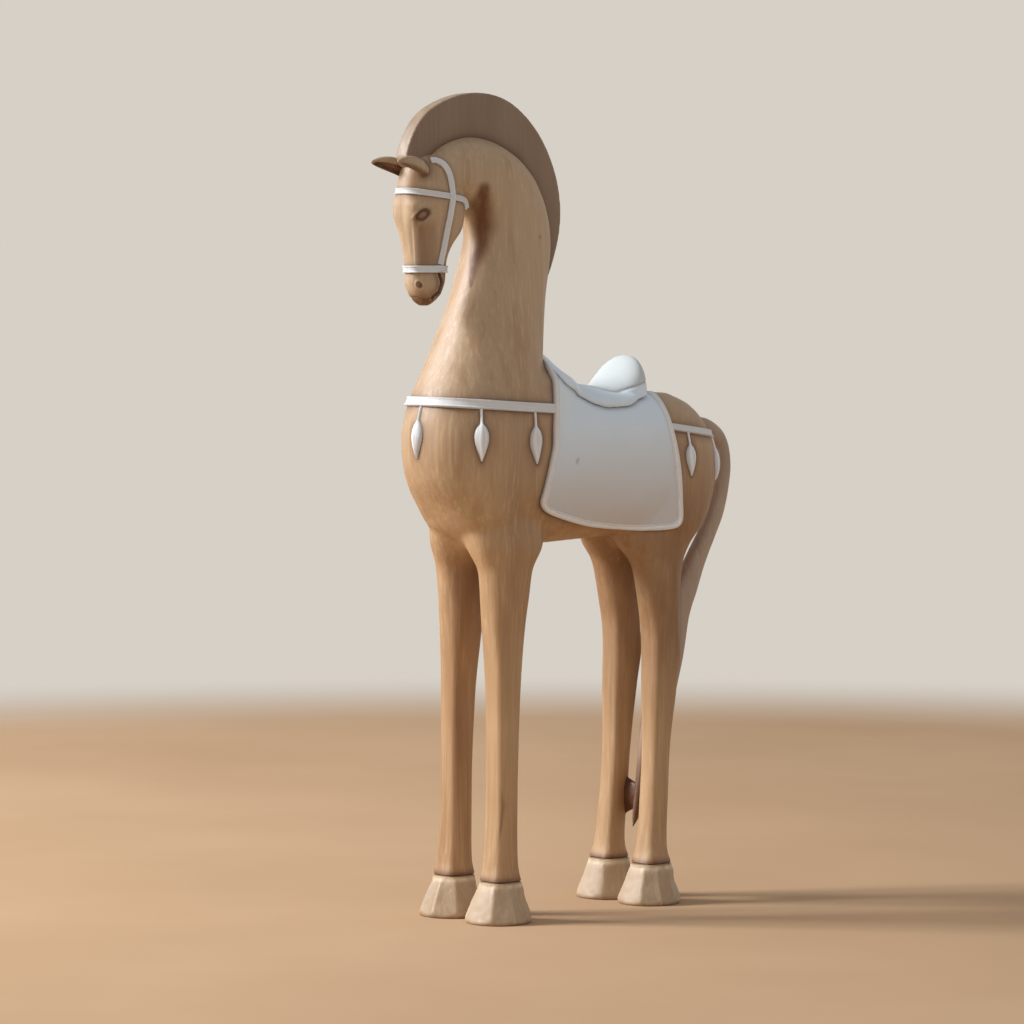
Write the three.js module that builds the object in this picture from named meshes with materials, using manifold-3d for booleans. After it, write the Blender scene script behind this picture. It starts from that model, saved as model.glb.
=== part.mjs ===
// A carved wooden horse that stands by itself, in saddle and bridle.
// Millimetres, +Z up. The horse faces -Y, its left side is +X, and X = 0 is its plane of symmetry.
import * as THREE from 'three';
import { mergeVertices } from 'three/addons/utils/BufferGeometryUtils.js';
import Module from 'manifold-3d';

const wasm = await Module();
wasm.setup();

// Clearances
const seatGap = 0.3;
const dowelGap = 0.3;

// Legs and hooves. Heights are above the floor, and places along the horse are on its Y axis.
const hoofHeight = 25;
const legLength = 186;
const seamHeight = hoofHeight + seatGap + legLength;
const frontHoofRadius = 19.4;
const hindHoofRadius = 18.8;
const hoofTopRadius = 12;
const frontLegAcross = 21;
const hindLegAcross = 18;
const frontLegAt = -56.5;
const hindLegAt = 75;
const hoofReach = 1.6;
const cannonRadius = 9.4;

// Seams and bands of the upper body, as heights above the seam between legs and torso
const withersCut = -13;
const withersTop = 126;
const headCut = -80;
const chinHeight = 159;
const napeHeight = chinHeight + 31;
const strapProud = 2;
const seamOverStrap = 2;
// A strap's middle is at its height at one place along the horse, and drops to the rear by its slope
const breast = { height: 96, at: -28, slope: 0.065, width: 6 };
const crupper = { height: 83.5, at: 71, slope: 0.14, width: 4.2 };
const neckSeam = breast.height + seamOverStrap;

// Cloth, saddle and bridle
const clothThickness = 1.6;
const borderWidth = 3.4;
const borderProud = 2.8;
const flapThickness = 4;
const seatPadThickness = 3.2;
const bridleWidth = 3.5;
const bridleProud = 1.1;
const noseStrapWidth = 4.2;
const maneThickness = 11;

// Dowels: radius and half length
const neckDowel = { radius: 5, half: 16 };
const headDowel = { radius: 4, half: 12 };
const legDowel = { radius: 4, half: 13 };
const hoofDowel = { radius: 3, half: 10 };
const maneDowel = { radius: 2, half: 8 };
const tailDowel = { radius: 2.5, half: 8 };
const earPeg = { radius: 1.6, half: 4 };

const horse = new THREE.Group();
const upper = new THREE.Group();
upper.position.z = seamHeight;
horse.add(upper);

const finishes = {
  wood: { color: 0xa98459, roughness: 0.6, metalness: 0 },
  maneWood: { color: 0x7d6853, roughness: 0.6, metalness: 0 },
  hoofWood: { color: 0xc8b08c, roughness: 0.55, metalness: 0 },
  pegWood: { color: 0xcdb184, roughness: 0.8, metalness: 0 },
  white: { color: 0xdfe1e0, roughness: 0.5, metalness: 0 },
  cloth: { color: 0xb4b5b8, roughness: 0.6, metalness: 0 },
};

// Solids from geometry and back
function solidOf(geometry) {
  const bare = geometry.clone();
  bare.deleteAttribute('normal');
  bare.deleteAttribute('uv');
  const merged = mergeVertices(bare, 1e-4);
  const vertProperties = new Float32Array(merged.attributes.position.array);
  const triVerts = new Uint32Array(merged.index.array);
  return new wasm.Manifold(new wasm.Mesh({ numProp: 3, vertProperties, triVerts }));
}

function geometryOf(solid) {
  const mesh = solid.getMesh();
  const geometry = new THREE.BufferGeometry();
  geometry.setAttribute('position', new THREE.BufferAttribute(new Float32Array(mesh.vertProperties), 3));
  geometry.setIndex(new THREE.BufferAttribute(new Uint32Array(mesh.triVerts), 1));
  geometry.computeVertexNormals();
  return geometry;
}

function addPiece(name, solid, finish, parent) {
  const piece = new THREE.Mesh(geometryOf(solid), new THREE.MeshStandardMaterial(finishes[finish]));
  piece.name = name;
  parent.add(piece);
  return piece;
}

function joined(solids) {
  return solids.reduce((sum, solid) => sum.add(solid));
}

// A station is one cross-section: x, y, z of its centre, half its width across the horse, half its depth,
// the lean of the skin's run forward of upright in degrees, and how square it is (2 is an ellipse).
function station(y, z, wide, deep, lean = 0, square = 2.2, x = 0, taper = 0) {
  return [x, y, z, wide, deep, lean, square, taper];
}

function splineValue(before, start, end, after, t) {
  const slopeStart = (end - before) / 2;
  const slopeEnd = (after - start) / 2;
  const t2 = t * t;
  const t3 = t2 * t;
  const keepStart = 2 * t3 - 3 * t2 + 1;
  const keepEnd = 3 * t2 - 2 * t3;
  return keepStart * start + keepEnd * end + (t3 - 2 * t2 + t) * slopeStart + (t3 - t2) * slopeEnd;
}

function between(stations, u) {
  const last = stations.length - 1;
  const i = Math.min(Math.floor(u), last - 1);
  const t = u - i;
  const before = stations[Math.max(i - 1, 0)];
  const after = stations[Math.min(i + 2, last)];
  return stations[i].map((value, k) => splineValue(before[k], value, stations[i + 1][k], after[k], t));
}

function ringOf(values, sides, grow) {
  const [x, y, z, wide, deep, lean, square, taper] = values;
  const tilt = THREE.MathUtils.degToRad(lean);
  const depthAxis = new THREE.Vector3(0, Math.cos(tilt), Math.sin(tilt));
  const ring = [];
  for (let i = 0; i < sides; i += 1) {
    const turn = (i / sides) * 2 * Math.PI;
    const across = Math.sign(Math.cos(turn)) * Math.abs(Math.cos(turn)) ** (2 / square);
    const along = Math.sign(Math.sin(turn)) * Math.abs(Math.sin(turn)) ** (2 / square);
    const point = new THREE.Vector3(x + across * (wide + grow) * (1 + taper * along), y, z);
    ring.push(point.addScaledVector(depthAxis, along * (deep + grow)));
  }
  return ring;
}

// A closed skin over rings of points, each ring turning the same way about the skin's run
function skin(rings) {
  const sides = rings[0].length;
  const points = rings.flat();
  const faces = [];
  for (let r = 0; r + 1 < rings.length; r += 1) {
    for (let s = 0; s < sides; s += 1) {
      const a = r * sides + s;
      const b = r * sides + ((s + 1) % sides);
      faces.push(a, b, a + sides, b, b + sides, a + sides);
    }
  }
  const middleOf = (ring) => ring.reduce((sum, p) => sum.add(p), new THREE.Vector3()).divideScalar(sides);
  const startHub = points.length;
  points.push(middleOf(rings[0]), middleOf(rings[rings.length - 1]));
  const endRing = (rings.length - 1) * sides;
  for (let s = 0; s < sides; s += 1) {
    const next = (s + 1) % sides;
    faces.push(startHub, next, s);
    faces.push(startHub + 1, endRing + s, endRing + next);
  }
  const geometry = new THREE.BufferGeometry();
  const flat = points.flatMap((p) => [p.x, p.y, p.z]);
  geometry.setAttribute('position', new THREE.Float32BufferAttribute(flat, 3));
  geometry.setIndex(faces);
  return geometry;
}

function loft(stations, sides, ringsPerStep, grow = 0) {
  const count = Math.round((stations.length - 1) * ringsPerStep);
  const rings = [];
  for (let i = 0; i <= count; i += 1) {
    rings.push(ringOf(between(stations, (i / count) * (stations.length - 1)), sides, grow));
  }
  return solidOf(skin(rings));
}

// The section of a level loft at one height
function sectionAt(stations, height) {
  let low = 0;
  let high = stations.length - 1;
  for (let i = 0; i < 30; i += 1) {
    const middle = (low + high) / 2;
    if (between(stations, middle)[2] < height) low = middle;
    else high = middle;
  }
  return between(stations, (low + high) / 2);
}

// A prism across the horse, from an outline of [y, z] points
function sidePrism(outline, halfWidth = 80) {
  const shape = new THREE.Shape(outline.map(([y, z]) => new THREE.Vector2(y, z)));
  const prism = new THREE.ExtrudeGeometry(shape, { depth: 2 * halfWidth, bevelEnabled: false });
  prism.translate(0, 0, -halfWidth);
  prism.applyMatrix4(new THREE.Matrix4().set(0, 0, 1, 0, 1, 0, 0, 0, 0, 1, 0, 0, 0, 0, 0, 1));
  return solidOf(prism);
}

function smoothOutline(points, count, closed = false) {
  const path = points.map(([y, z]) => new THREE.Vector3(y, z, 0));
  const curve = new THREE.CatmullRomCurve3(path, closed, 'centripetal');
  const steps = curve.getPoints(count);
  if (closed) steps.pop();
  return steps.map((p) => [p.x, p.y]);
}

function block(yFrom, yTo, zFrom, zTo, halfWidth = 80) {
  return sidePrism([[yFrom, zFrom], [yTo, zFrom], [yTo, zTo], [yFrom, zTo]], halfWidth);
}

function rod(radius, half, at, along, sides = 12) {
  const cylinder = new THREE.CylinderGeometry(radius, radius, 2 * half, sides);
  const lengthAxis = new THREE.Vector3(0, 1, 0);
  cylinder.applyQuaternion(new THREE.Quaternion().setFromUnitVectors(lengthAxis, along.clone().normalize()));
  cylinder.translate(at.x, at.y, at.z);
  return solidOf(cylinder);
}

function dowelAt(dowel, at, along) {
  return {
    pin: rod(dowel.radius, dowel.half, at, along),
    hole: rod(dowel.radius + dowelGap, dowel.half + dowelGap, at, along),
  };
}

// Body skins
const trunkStations = [
  station(-60, 8, 21, 11),
  station(-61, 14, 26.5, 17.5),
  station(-63, 24, 30.5, 22.5),
  station(-65, 37, 33, 27),
  station(-66.5, 52, 35, 35),
  station(-66.5, 67, 36.2, 39.2),
  station(-64.8, 83, 37, 41),
  station(-61, 98, 35.5, 41.8),
  station(-56.5, 113, 32.5, 39.6),
  station(-52, 128, 29.4, 36.8),
  station(-43, 161, 24.4, 31.4),
  station(-34.8, 196, 21.8, 28.6),
  station(-38.5, 216, 20.4, 27.6, 24),
  station(-49, 230.4, 19, 25, 48),
  station(-68, 238.5, 17.4, 21.8, 80),
  station(-85.5, 236.6, 15.6, 18.8, 104),
  station(-98, 229.5, 13.5, 16, 120),
];
const barrelStations = [
  station(-58, 58, 34, 40, -90, 2.4),
  station(-36, 59, 36.5, 44, -90, 2.4),
  station(-22, 66, 37, 51, -90, 2.3),
  station(-6, 67.5, 37.5, 53, -90, 2.3),
  station(14, 62, 38, 47, -90, 2.4),
  station(36, 59.5, 38, 43.5, -90, 2.5),
  station(58, 60.5, 38, 43.5, -90, 2.4),
  station(82, 62, 36, 43, -90, 2.3),
];
const rumpStations = [
  station(77, 8, 31, 22),
  station(80, 21, 35.5, 32),
  station(82, 34, 37.2, 38),
  station(83, 53, 38.5, 42),
  station(83, 71, 37.5, 40.5),
  station(81, 86, 33, 35.5),
  station(78.5, 97, 25, 28),
  station(77, 104, 12, 16),
];
const bodySides = 22;
const trunk = (grow) => loft(trunkStations, bodySides, 1.25, grow);
const barrel = (grow) => loft(barrelStations, bodySides, 1.15, grow);
const rump = (grow) => loft(rumpStations, bodySides, 1.15, grow);

// Legs rise from the hooves into the torso. A row holds the height, the shift back, the shift outward, and
// what the half width and half depth gain over the cannon. Heights up to 1 are shares of the leg's length,
// and those above 1 are millimetres over the seam.
const frontLegRows = [
  [0, -2.2, 0.4, 2, 2.4],
  [0.05, -1.9, 0.3, 0.6, 0.9],
  [0.16, -1.2, 0, 0, 0.2],
  [0.36, -0.5, -0.2, -0.1, 0.1],
  [0.52, 0.2, -0.4, 0.2, 0.8],
  [0.66, 1, -0.8, 0.8, 2],
  [0.8, 1.7, -1.6, 1.8, 4],
  [0.92, 2.8, -1.6, 2.7, 6.6],
  [1, 3.5, -1.6, 3.8, 8.9],
  [5, 4.1, -3, 5.2, 12.6],
  [16, 5.5, -4.4, 7.6, 17.6],
  [30, 4.5, -6, 9, 22],
];
const hindLegRows = [
  [0, -7.5, 1.3, 1.8, 2],
  [0.066, -6.9, 1, -0.2, -0.4],
  [0.26, -3.9, 0.3, -0.9, -0.8],
  [0.4, -2.1, -0.1, -0.8, -0.5],
  [0.58, 0.2, 0, 0.8, 2],
  [0.69, 2, -0.3, 1.4, 3.4],
  [0.79, 0.8, -0.3, 1.6, 2.8],
  [0.9, -0.8, 0, 2.6, 4.8],
  [1, -1.8, -0.4, 4, 9.1],
  [13, -3, -2.2, 7.6, 18.4],
  [30, 1, -3, 9, 24],
];
function legStations(across, at, hind) {
  const rows = hind ? hindLegRows : frontLegRows;
  return rows.map(([height, shift, outward, widen, deepen]) => {
    const z = height <= 1 ? (height - 1) * legLength : height;
    return station(at + shift, z, cannonRadius + widen, cannonRadius + deepen, 0, 2.2, across + outward);
  });
}
function legSkin(leg, grow) {
  const side = Math.sign(leg.across);
  const stations = legStations(Math.abs(leg.across), leg.at, leg.hind);
  return loft(stations.map(([x, ...rest]) => [side * x, ...rest]), 14, 1, grow);
}
const legs = [
  { name: 'front_left', across: frontLegAcross, at: frontLegAt, hind: false, hoof: frontHoofRadius },
  { name: 'front_right', across: -frontLegAcross, at: frontLegAt, hind: false, hoof: frontHoofRadius },
  { name: 'rear_left', across: hindLegAcross, at: hindLegAt, hind: true, hoof: hindHoofRadius },
  { name: 'rear_right', across: -hindLegAcross, at: hindLegAt, hind: true, hoof: hindHoofRadius },
];
for (const leg of legs) {
  const [footX, footY] = legStations(Math.abs(leg.across), leg.at, leg.hind)[0];
  leg.seam = dowelAt(legDowel, new THREE.Vector3(leg.across, leg.at, 0), new THREE.Vector3(0, 0, 1));
  leg.footX = Math.sign(leg.across) * footX;
  leg.footY = footY;
}

// The whole body grown by a clearance, and the layers that lie on it
const bodySkins = new Map();
function bodySkin(grow) {
  if (!bodySkins.has(grow)) {
    const legSkins = legs.map((leg) => legSkin(leg, grow));
    bodySkins.set(grow, joined([trunk(grow), barrel(grow), rump(grow), ...legSkins]));
  }
  return bodySkins.get(grow);
}
const shell = (inner, outer) => bodySkin(outer).subtract(bodySkin(inner));

// Head, with heights over the chin: front and back of the section, half width
function headStation(height, front, back, wide) {
  return station((front + back) / 2, chinHeight + height, wide, (back - front) / 2, 0, 2.6, 0, 0.14);
}
const headStations = [
  headStation(0, -103.5, -98, 2.8),
  headStation(2, -107.3, -94.5, 6),
  headStation(6, -110.3, -91, 8.2),
  headStation(13, -112.2, -88.2, 9.6),
  headStation(20, -112.3, -88, 9),
  headStation(28, -112.8, -87.6, 9),
  headStation(36, -114, -84.2, 10.2),
  headStation(44, -115.3, -78, 12),
  headStation(53, -116.6, -73.4, 13.6),
  headStation(62, -117.6, -72.2, 14.4),
  headStation(71, -117.2, -74, 14),
  headStation(80, -115, -79, 12.6),
  headStation(86.5, -110.5, -84, 9.4),
  headStation(89.5, -106, -88, 5),
];
const eyeSocket = { across: 9.8, at: -108.6, height: chinHeight + 54.5, size: [3.7, 7.2, 7.6] };
const headLoft = (grow) => loft(headStations, 16, 1.1, grow);
function eyeSockets(grow) {
  return joined([1, -1].map((side) => {
    const bulge = new THREE.SphereGeometry(1, 10, 6);
    bulge.scale(...eyeSocket.size.map((radius) => radius + grow));
    bulge.translate(side * eyeSocket.across, eyeSocket.at, eyeSocket.height);
    return solidOf(bulge);
  }));
}
const headSkin = (grow) => headLoft(grow).add(eyeSockets(grow));

// Torso and neck meet on a level seam, with a step over the withers
function neckSpace(gap) {
  const rear = withersCut - gap;
  const base = neckSeam + gap;
  const top = withersTop + gap;
  return sidePrism([[-200, base], [rear, base], [rear, top], [200, top], [200, 400], [-200, 400]]);
}
function buildTorso(holes) {
  const whole = bodySkin(0).intersect(block(-200, 200, 0, 400));
  return whole.subtract(neckSpace(0)).subtract(joined(holes));
}

function buildNeck(holes) {
  const column = trunk(0).add(barrel(0)).intersect(neckSpace(seatGap));
  const headSpace = block(-200, headCut + seatGap, napeHeight, 400);
  return column.subtract(headSpace).subtract(headSkin(seatGap)).subtract(joined(holes));
}

function buildHead(holes) {
  const nape = trunk(0).intersect(block(-200, headCut, napeHeight, 400));
  const sockets = eyeSockets(0).subtract(earLeaf(1, seatGap)).subtract(earLeaf(-1, seatGap));
  return headLoft(0).add(sockets).add(nape).subtract(joined(holes));
}

// Ears point forward from the poll, with a scoop under each
const earBase = new THREE.Vector3(9.6, -107, chinHeight + 81);
function earStations(side) {
  return [
    [side * earBase.x, earBase.y, earBase.z, 3.6, 4.8, 90, 2, 0],
    [side * (earBase.x + 0.6), earBase.y - 7, earBase.z + 2.5, 4.4, 5.6, 90, 2, 0],
    [side * (earBase.x + 1.6), earBase.y - 14, earBase.z + 3.6, 3.8, 4.8, 90, 2, 0],
    [side * (earBase.x + 2.2), earBase.y - 20.5, earBase.z + 4.2, 2.4, 2.8, 90, 2, 0],
    [side * (earBase.x + 2.6), earBase.y - 24.6, earBase.z + 4.3, 0.7, 0.8, 90, 2, 0],
  ];
}
const earLeaf = (side, grow) => loft(earStations(side), 10, 1, grow);
function earPegAt(side) {
  const at = new THREE.Vector3(side * earBase.x, earBase.y + 2, earBase.z - 1);
  return dowelAt(earPeg, at, new THREE.Vector3(0, 1, -0.4));
}
function buildEar(side) {
  const scoop = new THREE.SphereGeometry(1, 10, 6);
  scoop.scale(3, 10, 3);
  scoop.translate(side * (earBase.x + 2.4), earBase.y - 14, earBase.z - 0.6);
  const cupped = earLeaf(side, 0).subtract(solidOf(scoop));
  return cupped.subtract(headLoft(seatGap)).add(earPegAt(side).pin);
}

// The crescent board on the crest: its outer rim, then a way back inside the neck
const maneRim = [[-112, 243], [-118.8, 250.5], [-106.5, 269.5], [-86, 281.5], [-62, 286], [-38.5, 282],
  [-18.5, 268.5], [-4.5, 250], [3.6, 228], [4.4, 206], [-1, 186], [-9, 168]];
function buildMane(holes) {
  const rim = smoothOutline(maneRim, 36);
  const inside = [[-24, 180], [-28, 214], [-58, 238], [-98, 236]];
  const board = sidePrism([...rim, ...inside], maneThickness / 2);
  return board.subtract(trunk(seatGap)).subtract(headSkin(seatGap)).subtract(joined(holes));
}

// Hooves: faceted cones with the toe a little forward
function buildHoof(leg) {
  const { footY } = leg;
  const toeY = footY - hoofReach;
  const base = leg.hoof;
  const profile = [
    station(toeY, 0, base - 1, base - 0.6, 0, 2.1, leg.footX),
    station(toeY, 2, base, base + 0.4, 0, 2.1, leg.footX),
    station(toeY, 6, base - 0.6, base - 0.2, 0, 2.1, leg.footX),
    station(footY - 1.6, hoofHeight * 0.62, base - 4.2, base - 3.8, 0, 2.1, leg.footX),
    station(footY, hoofHeight - 2.5, hoofTopRadius + 0.6, hoofTopRadius + 0.8, 0, 2.1, leg.footX),
    station(footY, hoofHeight, hoofTopRadius - 0.8, hoofTopRadius - 0.6, 0, 2.1, leg.footX),
  ];
  return loft(profile, 12, 1).subtract(footDowel(leg).hole);
}
function footDowel(leg) {
  const at = new THREE.Vector3(leg.footX, leg.footY, hoofHeight);
  return dowelAt(hoofDowel, at, new THREE.Vector3(0, 0, 1));
}

// Tail, from its root down: centre and half sizes
const tailStations = [
  station(71, -164, 1.2, 1.6),
  station(77, -150, 3, 4.4),
  station(82, -128, 4.6, 7.4),
  station(87.5, -105, 5.6, 10),
  station(93, -86, 6, 11.2),
  station(100.5, -61, 6, 11.2),
  station(105.8, -37, 6, 10.6),
  station(113.5, -21, 5.8, 9.6),
  station(123, -2, 5.6, 8),
  station(139.5, 26, 5, 6),
  station(146, 46, 4.6, 5),
  station(147, 60, 4.6, 5),
  station(143, 73, 4.8, 5.2, 35),
  station(132, 81, 5.2, 5.4, 70),
  station(118, 83, 5.6, 5.6, 84),
];
const tailSkin = (grow) => loft(tailStations, 10, 1.2, grow);
function buildTail(holes) {
  return tailSkin(0).subtract(bodySkin(seatGap)).subtract(joined(holes));
}
// The web that ties the tail's tip to both hind legs
function buildTailWeb() {
  const outline = [[72, -141], [82, -141], [84, -154], [76, -156], [70, -150]];
  const web = sidePrism(outline, hindLegAcross);
  const legRoom = legs.filter((leg) => leg.hind).map((leg) => legSkin(leg, seatGap));
  return web.subtract(joined(legRoom)).subtract(tailSkin(seatGap));
}

// Outlines drawn from the side are closed over the back at this height
const backLimit = 133;
// Cloth outline from the side: front edge down, hem to the rear, rear edge up, and over the back
const clothFront = [[-11, 132], [-16.5, 115], [-27, 97], [-31, 78], [-36, 62], [-43, 40]];
const clothHem = [[-33, 32], [-8, 25.5], [20, 21.5], [58, 19], [71, 20.5]];
const clothRear = [[75, 25], [73, 42], [70.5, 62], [67, 82], [66, 98], [69, 108]];
function clothOutline() {
  const front = smoothOutline(clothFront, 14);
  const hem = smoothOutline(clothHem, 12);
  const rear = smoothOutline(clothRear, 12);
  return [...front, ...hem, ...rear, [69, backLimit], [-5, backLimit]];
}
// The outline drawn in by a width on its three free edges
function drawnIn(outline, inset) {
  return outline.map(([y, z], i) => {
    const before = outline[(i + outline.length - 1) % outline.length];
    const after = outline[(i + 1) % outline.length];
    const run = new THREE.Vector2(after[0] - before[0], after[1] - before[1]).normalize();
    if (z >= backLimit) return [y + (y < 20 ? inset : -inset), z];
    return [y - run.y * inset, z + run.x * inset];
  });
}
function buildCloth() {
  const sheet = shell(seatGap, seatGap + clothThickness);
  return sheet.intersect(sidePrism(drawnIn(clothOutline(), borderWidth + seatGap)));
}
function buildClothBorder() {
  const ring = sidePrism(clothOutline()).subtract(sidePrism(drawnIn(clothOutline(), borderWidth)));
  return shell(seatGap, seatGap + borderProud).intersect(ring);
}

// Saddle
const flapFront = -7;
const flapBottom = [[flapFront, 128], [-6.8, 119], [-5, 110], [1, 103.5], [10.5, 98], [22, 95.5], [38, 95],
  [50, 98], [60, 103.5], [64, 112]];
const clothTop = seatGap + clothThickness + seatGap;
const flapTop = clothTop + flapThickness;
function buildFlap() {
  const outline = [...smoothOutline(flapBottom, 16), [64, backLimit], [flapFront, backLimit]];
  return shell(clothTop, flapTop).intersect(sidePrism(outline));
}
const seatBottom = [[4, 128], [6, 112.5], [22, 108], [40, 106.5], [52, 109], [60, 113]];
const cantleStations = [
  station(56, 106, 25.5, 6.5, 0, 2.4),
  station(59, 112, 23.5, 5.8, 0, 2.4),
  station(62.5, 120, 16.8, 4.8, 0, 2.3),
  station(64.6, 125, 11, 3.6),
  station(65.2, 127.6, 5, 2),
];
function buildSeat() {
  const outline = [...smoothOutline(seatBottom, 12), [60, backLimit], [4, backLimit]];
  const pad = shell(flapTop + seatGap, flapTop + seatGap + seatPadThickness).intersect(sidePrism(outline));
  const cantle = loft(cantleStations, 20, 2).subtract(bodySkin(flapTop + seatGap));
  return pad.add(cantle);
}

// Straps round the body
const strapMiddle = (strap, y) => strap.height - strap.slope * (y - strap.at);
function bandOf(strap, from, to) {
  const [start, end] = [strapMiddle(strap, from), strapMiddle(strap, to)];
  const half = strap.width / 2;
  return sidePrism([[from, start - half], [to, end - half], [to, end + half], [from, start + half]]);
}
const strapLayer = () => shell(seatGap, seatGap + strapProud);
function sideRoom(side) {
  const room = new THREE.BoxGeometry(100, 400, 800);
  return solidOf(room.translate(side * (50 + seatGap / 2), 0, 0));
}
function buildBreastStrap() {
  const clothEdge = smoothOutline(clothFront, 14).map(([y, z]) => [y - seatGap, z]);
  const clothRoom = sidePrism([...clothEdge, [200, 40], [200, 132]]);
  return strapLayer().intersect(bandOf(breast, -140, 40)).subtract(clothRoom);
}
function buildCrupperStrap(side) {
  const clothEdge = smoothOutline(clothRear, 12).map(([y, z]) => [y + seatGap, z]);
  const clothRoom = sidePrism([...clothEdge, [0, 108], [0, 25]]);
  const wholeBand = strapLayer().intersect(bandOf(crupper, 60, 160)).intersect(sideRoom(side));
  return wholeBand.subtract(clothRoom).subtract(tailSkin(seatGap));
}

// Leaf tassels hang from a strap on a thin stem. Each follows the body's surface as it drops.
const tasselDrops = [
  { drop: 0.4, wide: 1.1, proud: 1.5 },
  { drop: 8.6, wide: 1.1, proud: 1.5 },
  { drop: 11, wide: 2.6, proud: 2.6 },
  { drop: 16, wide: 4.6, proud: 3.4 },
  { drop: 21, wide: 4.7, proud: 3.6 },
  { drop: 28, wide: 2.9, proud: 2.8 },
  { drop: 34.5, wide: 0.6, proud: 1 },
];
function tassel(top, surfaceAt, scale) {
  const rings = tasselDrops.slice().reverse().map(({ drop, wide, proud }) => {
    const height = top - drop * scale;
    const { point, out } = surfaceAt(height);
    const across = new THREE.Vector3(-out.y, out.x, 0);
    const ring = [];
    for (let i = 0; i < 10; i += 1) {
      const turn = (i / 10) * 2 * Math.PI;
      ring.push(point.clone()
        .addScaledVector(out, Math.cos(turn) * (proud + seatGap))
        .addScaledVector(across, Math.sin(turn) * wide * scale));
    }
    return ring;
  });
  return solidOf(skin(rings)).subtract(bodySkin(seatGap));
}
function onLoft(stations, angle, frontward) {
  return (height) => {
    const [, y, z, wide, deep, , square] = sectionAt(stations, height);
    const s = Math.sin(angle);
    const c = Math.cos(angle);
    const x = Math.sign(s) * Math.abs(s) ** (2 / square) * wide;
    const along = Math.sign(c) * Math.abs(c) ** (2 / square) * deep;
    const out = new THREE.Vector3(s * deep, frontward * c * wide, 0).normalize();
    return { point: new THREE.Vector3(x, y + frontward * along, z), out };
  };
}
// The flank at one place along the horse, where the trunk or the barrel stands further out
function onFlank(side, y) {
  const last = barrelStations.length - 1;
  const steps = 200;
  let values = barrelStations[0];
  for (let i = 0; i <= steps; i += 1) {
    const here = between(barrelStations, (i / steps) * last);
    if (here[1] <= y) values = here;
  }
  const reach = (offset, wide, deep, square) => {
    const share = Math.min(Math.abs(offset) / deep, 1);
    return wide * (1 - share ** square) ** (1 / square);
  };
  const [, , middle, barrelWide, barrelDeep, , barrelSquare] = values;
  return (height) => {
    const [, trunkAt, , trunkWide, trunkDeep, , trunkSquare] = sectionAt(trunkStations, height);
    const onBarrel = reach(height - middle, barrelWide, barrelDeep, barrelSquare);
    const onTrunk = reach(y - trunkAt, trunkWide, trunkDeep, trunkSquare);
    const x = side * Math.max(onBarrel, onTrunk);
    return { point: new THREE.Vector3(x, y, height), out: new THREE.Vector3(side, 0, 0) };
  };
}
const chestTasselAngle = THREE.MathUtils.degToRad(59.4);
const sideTasselAt = -42;
const rumpTasselAngles = { side: THREE.MathUtils.degToRad(92), rear: THREE.MathUtils.degToRad(42) };
const rumpTasselScale = 0.86;

function hangFrom(strap, surfaceAt, scale) {
  const { y } = surfaceAt(strap.height).point;
  const lowest = Math.min(strapMiddle(strap, y - 2), strapMiddle(strap, y + 2));
  return tassel(lowest - strap.width / 2 - seatGap, surfaceAt, scale);
}
function buildTassels() {
  const chest = (angle) => hangFrom(breast, onLoft(trunkStations, angle, -1), 1);
  const rear = (angle) => hangFrom(crupper, onLoft(rumpStations, angle, 1), rumpTasselScale);
  addPiece('chest_tassel_middle', chest(0), 'white', upper);
  for (const [side, label] of [[1, 'left'], [-1, 'right']]) {
    addPiece(`chest_tassel_${label}`, chest(side * chestTasselAngle), 'white', upper);
    addPiece(`shoulder_tassel_${label}`, hangFrom(breast, onFlank(side, sideTasselAt), 1), 'white', upper);
    addPiece(`rump_tassel_${label}`, rear(side * rumpTasselAngles.side), 'white', upper);
    addPiece(`tail_tassel_${label}`, rear(side * rumpTasselAngles.rear), 'white', upper);
  }
}

// Bridle
function headAndNape(grow) {
  return headSkin(grow).add(trunk(grow).intersect(block(-200, headCut + 10, napeHeight, 400)));
}
const headShell = headAndNape(seatGap + bridleProud).subtract(headAndNape(seatGap));
const cheekRows = [[-95.6, 24.2], [-95, 40], [-93, 55], [-91.2, 67], [-92, 77], [-95, 91], [-97, 103]];
const cheekLine = cheekRows.map(([y, height]) => [y, chinHeight + height]);
function cheekBand(width) {
  const line = smoothOutline(cheekLine, 16);
  const front = line.map(([y, z]) => [y - width / 2, z]);
  const rear = line.map(([y, z]) => [y + width / 2, z]);
  return sidePrism([...rear, ...front.reverse()]);
}
const browHeight = chinHeight + 67;
const browSlope = 0.13;
function browBand(from, to) {
  const rise = (y) => browHeight - browSlope * (y + 117);
  return sidePrism([
    [from, rise(from) - bridleWidth / 2], [to, rise(to) - bridleWidth / 2],
    [to, rise(to) + bridleWidth / 2], [from, rise(from) + bridleWidth / 2],
  ]);
}
const noseStrapHeight = chinHeight + 21.6;
const noseStrapTop = noseStrapHeight + noseStrapWidth / 2;
const noseStrap = block(-200, -60, noseStrapHeight - noseStrapWidth / 2, noseStrapTop);
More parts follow.
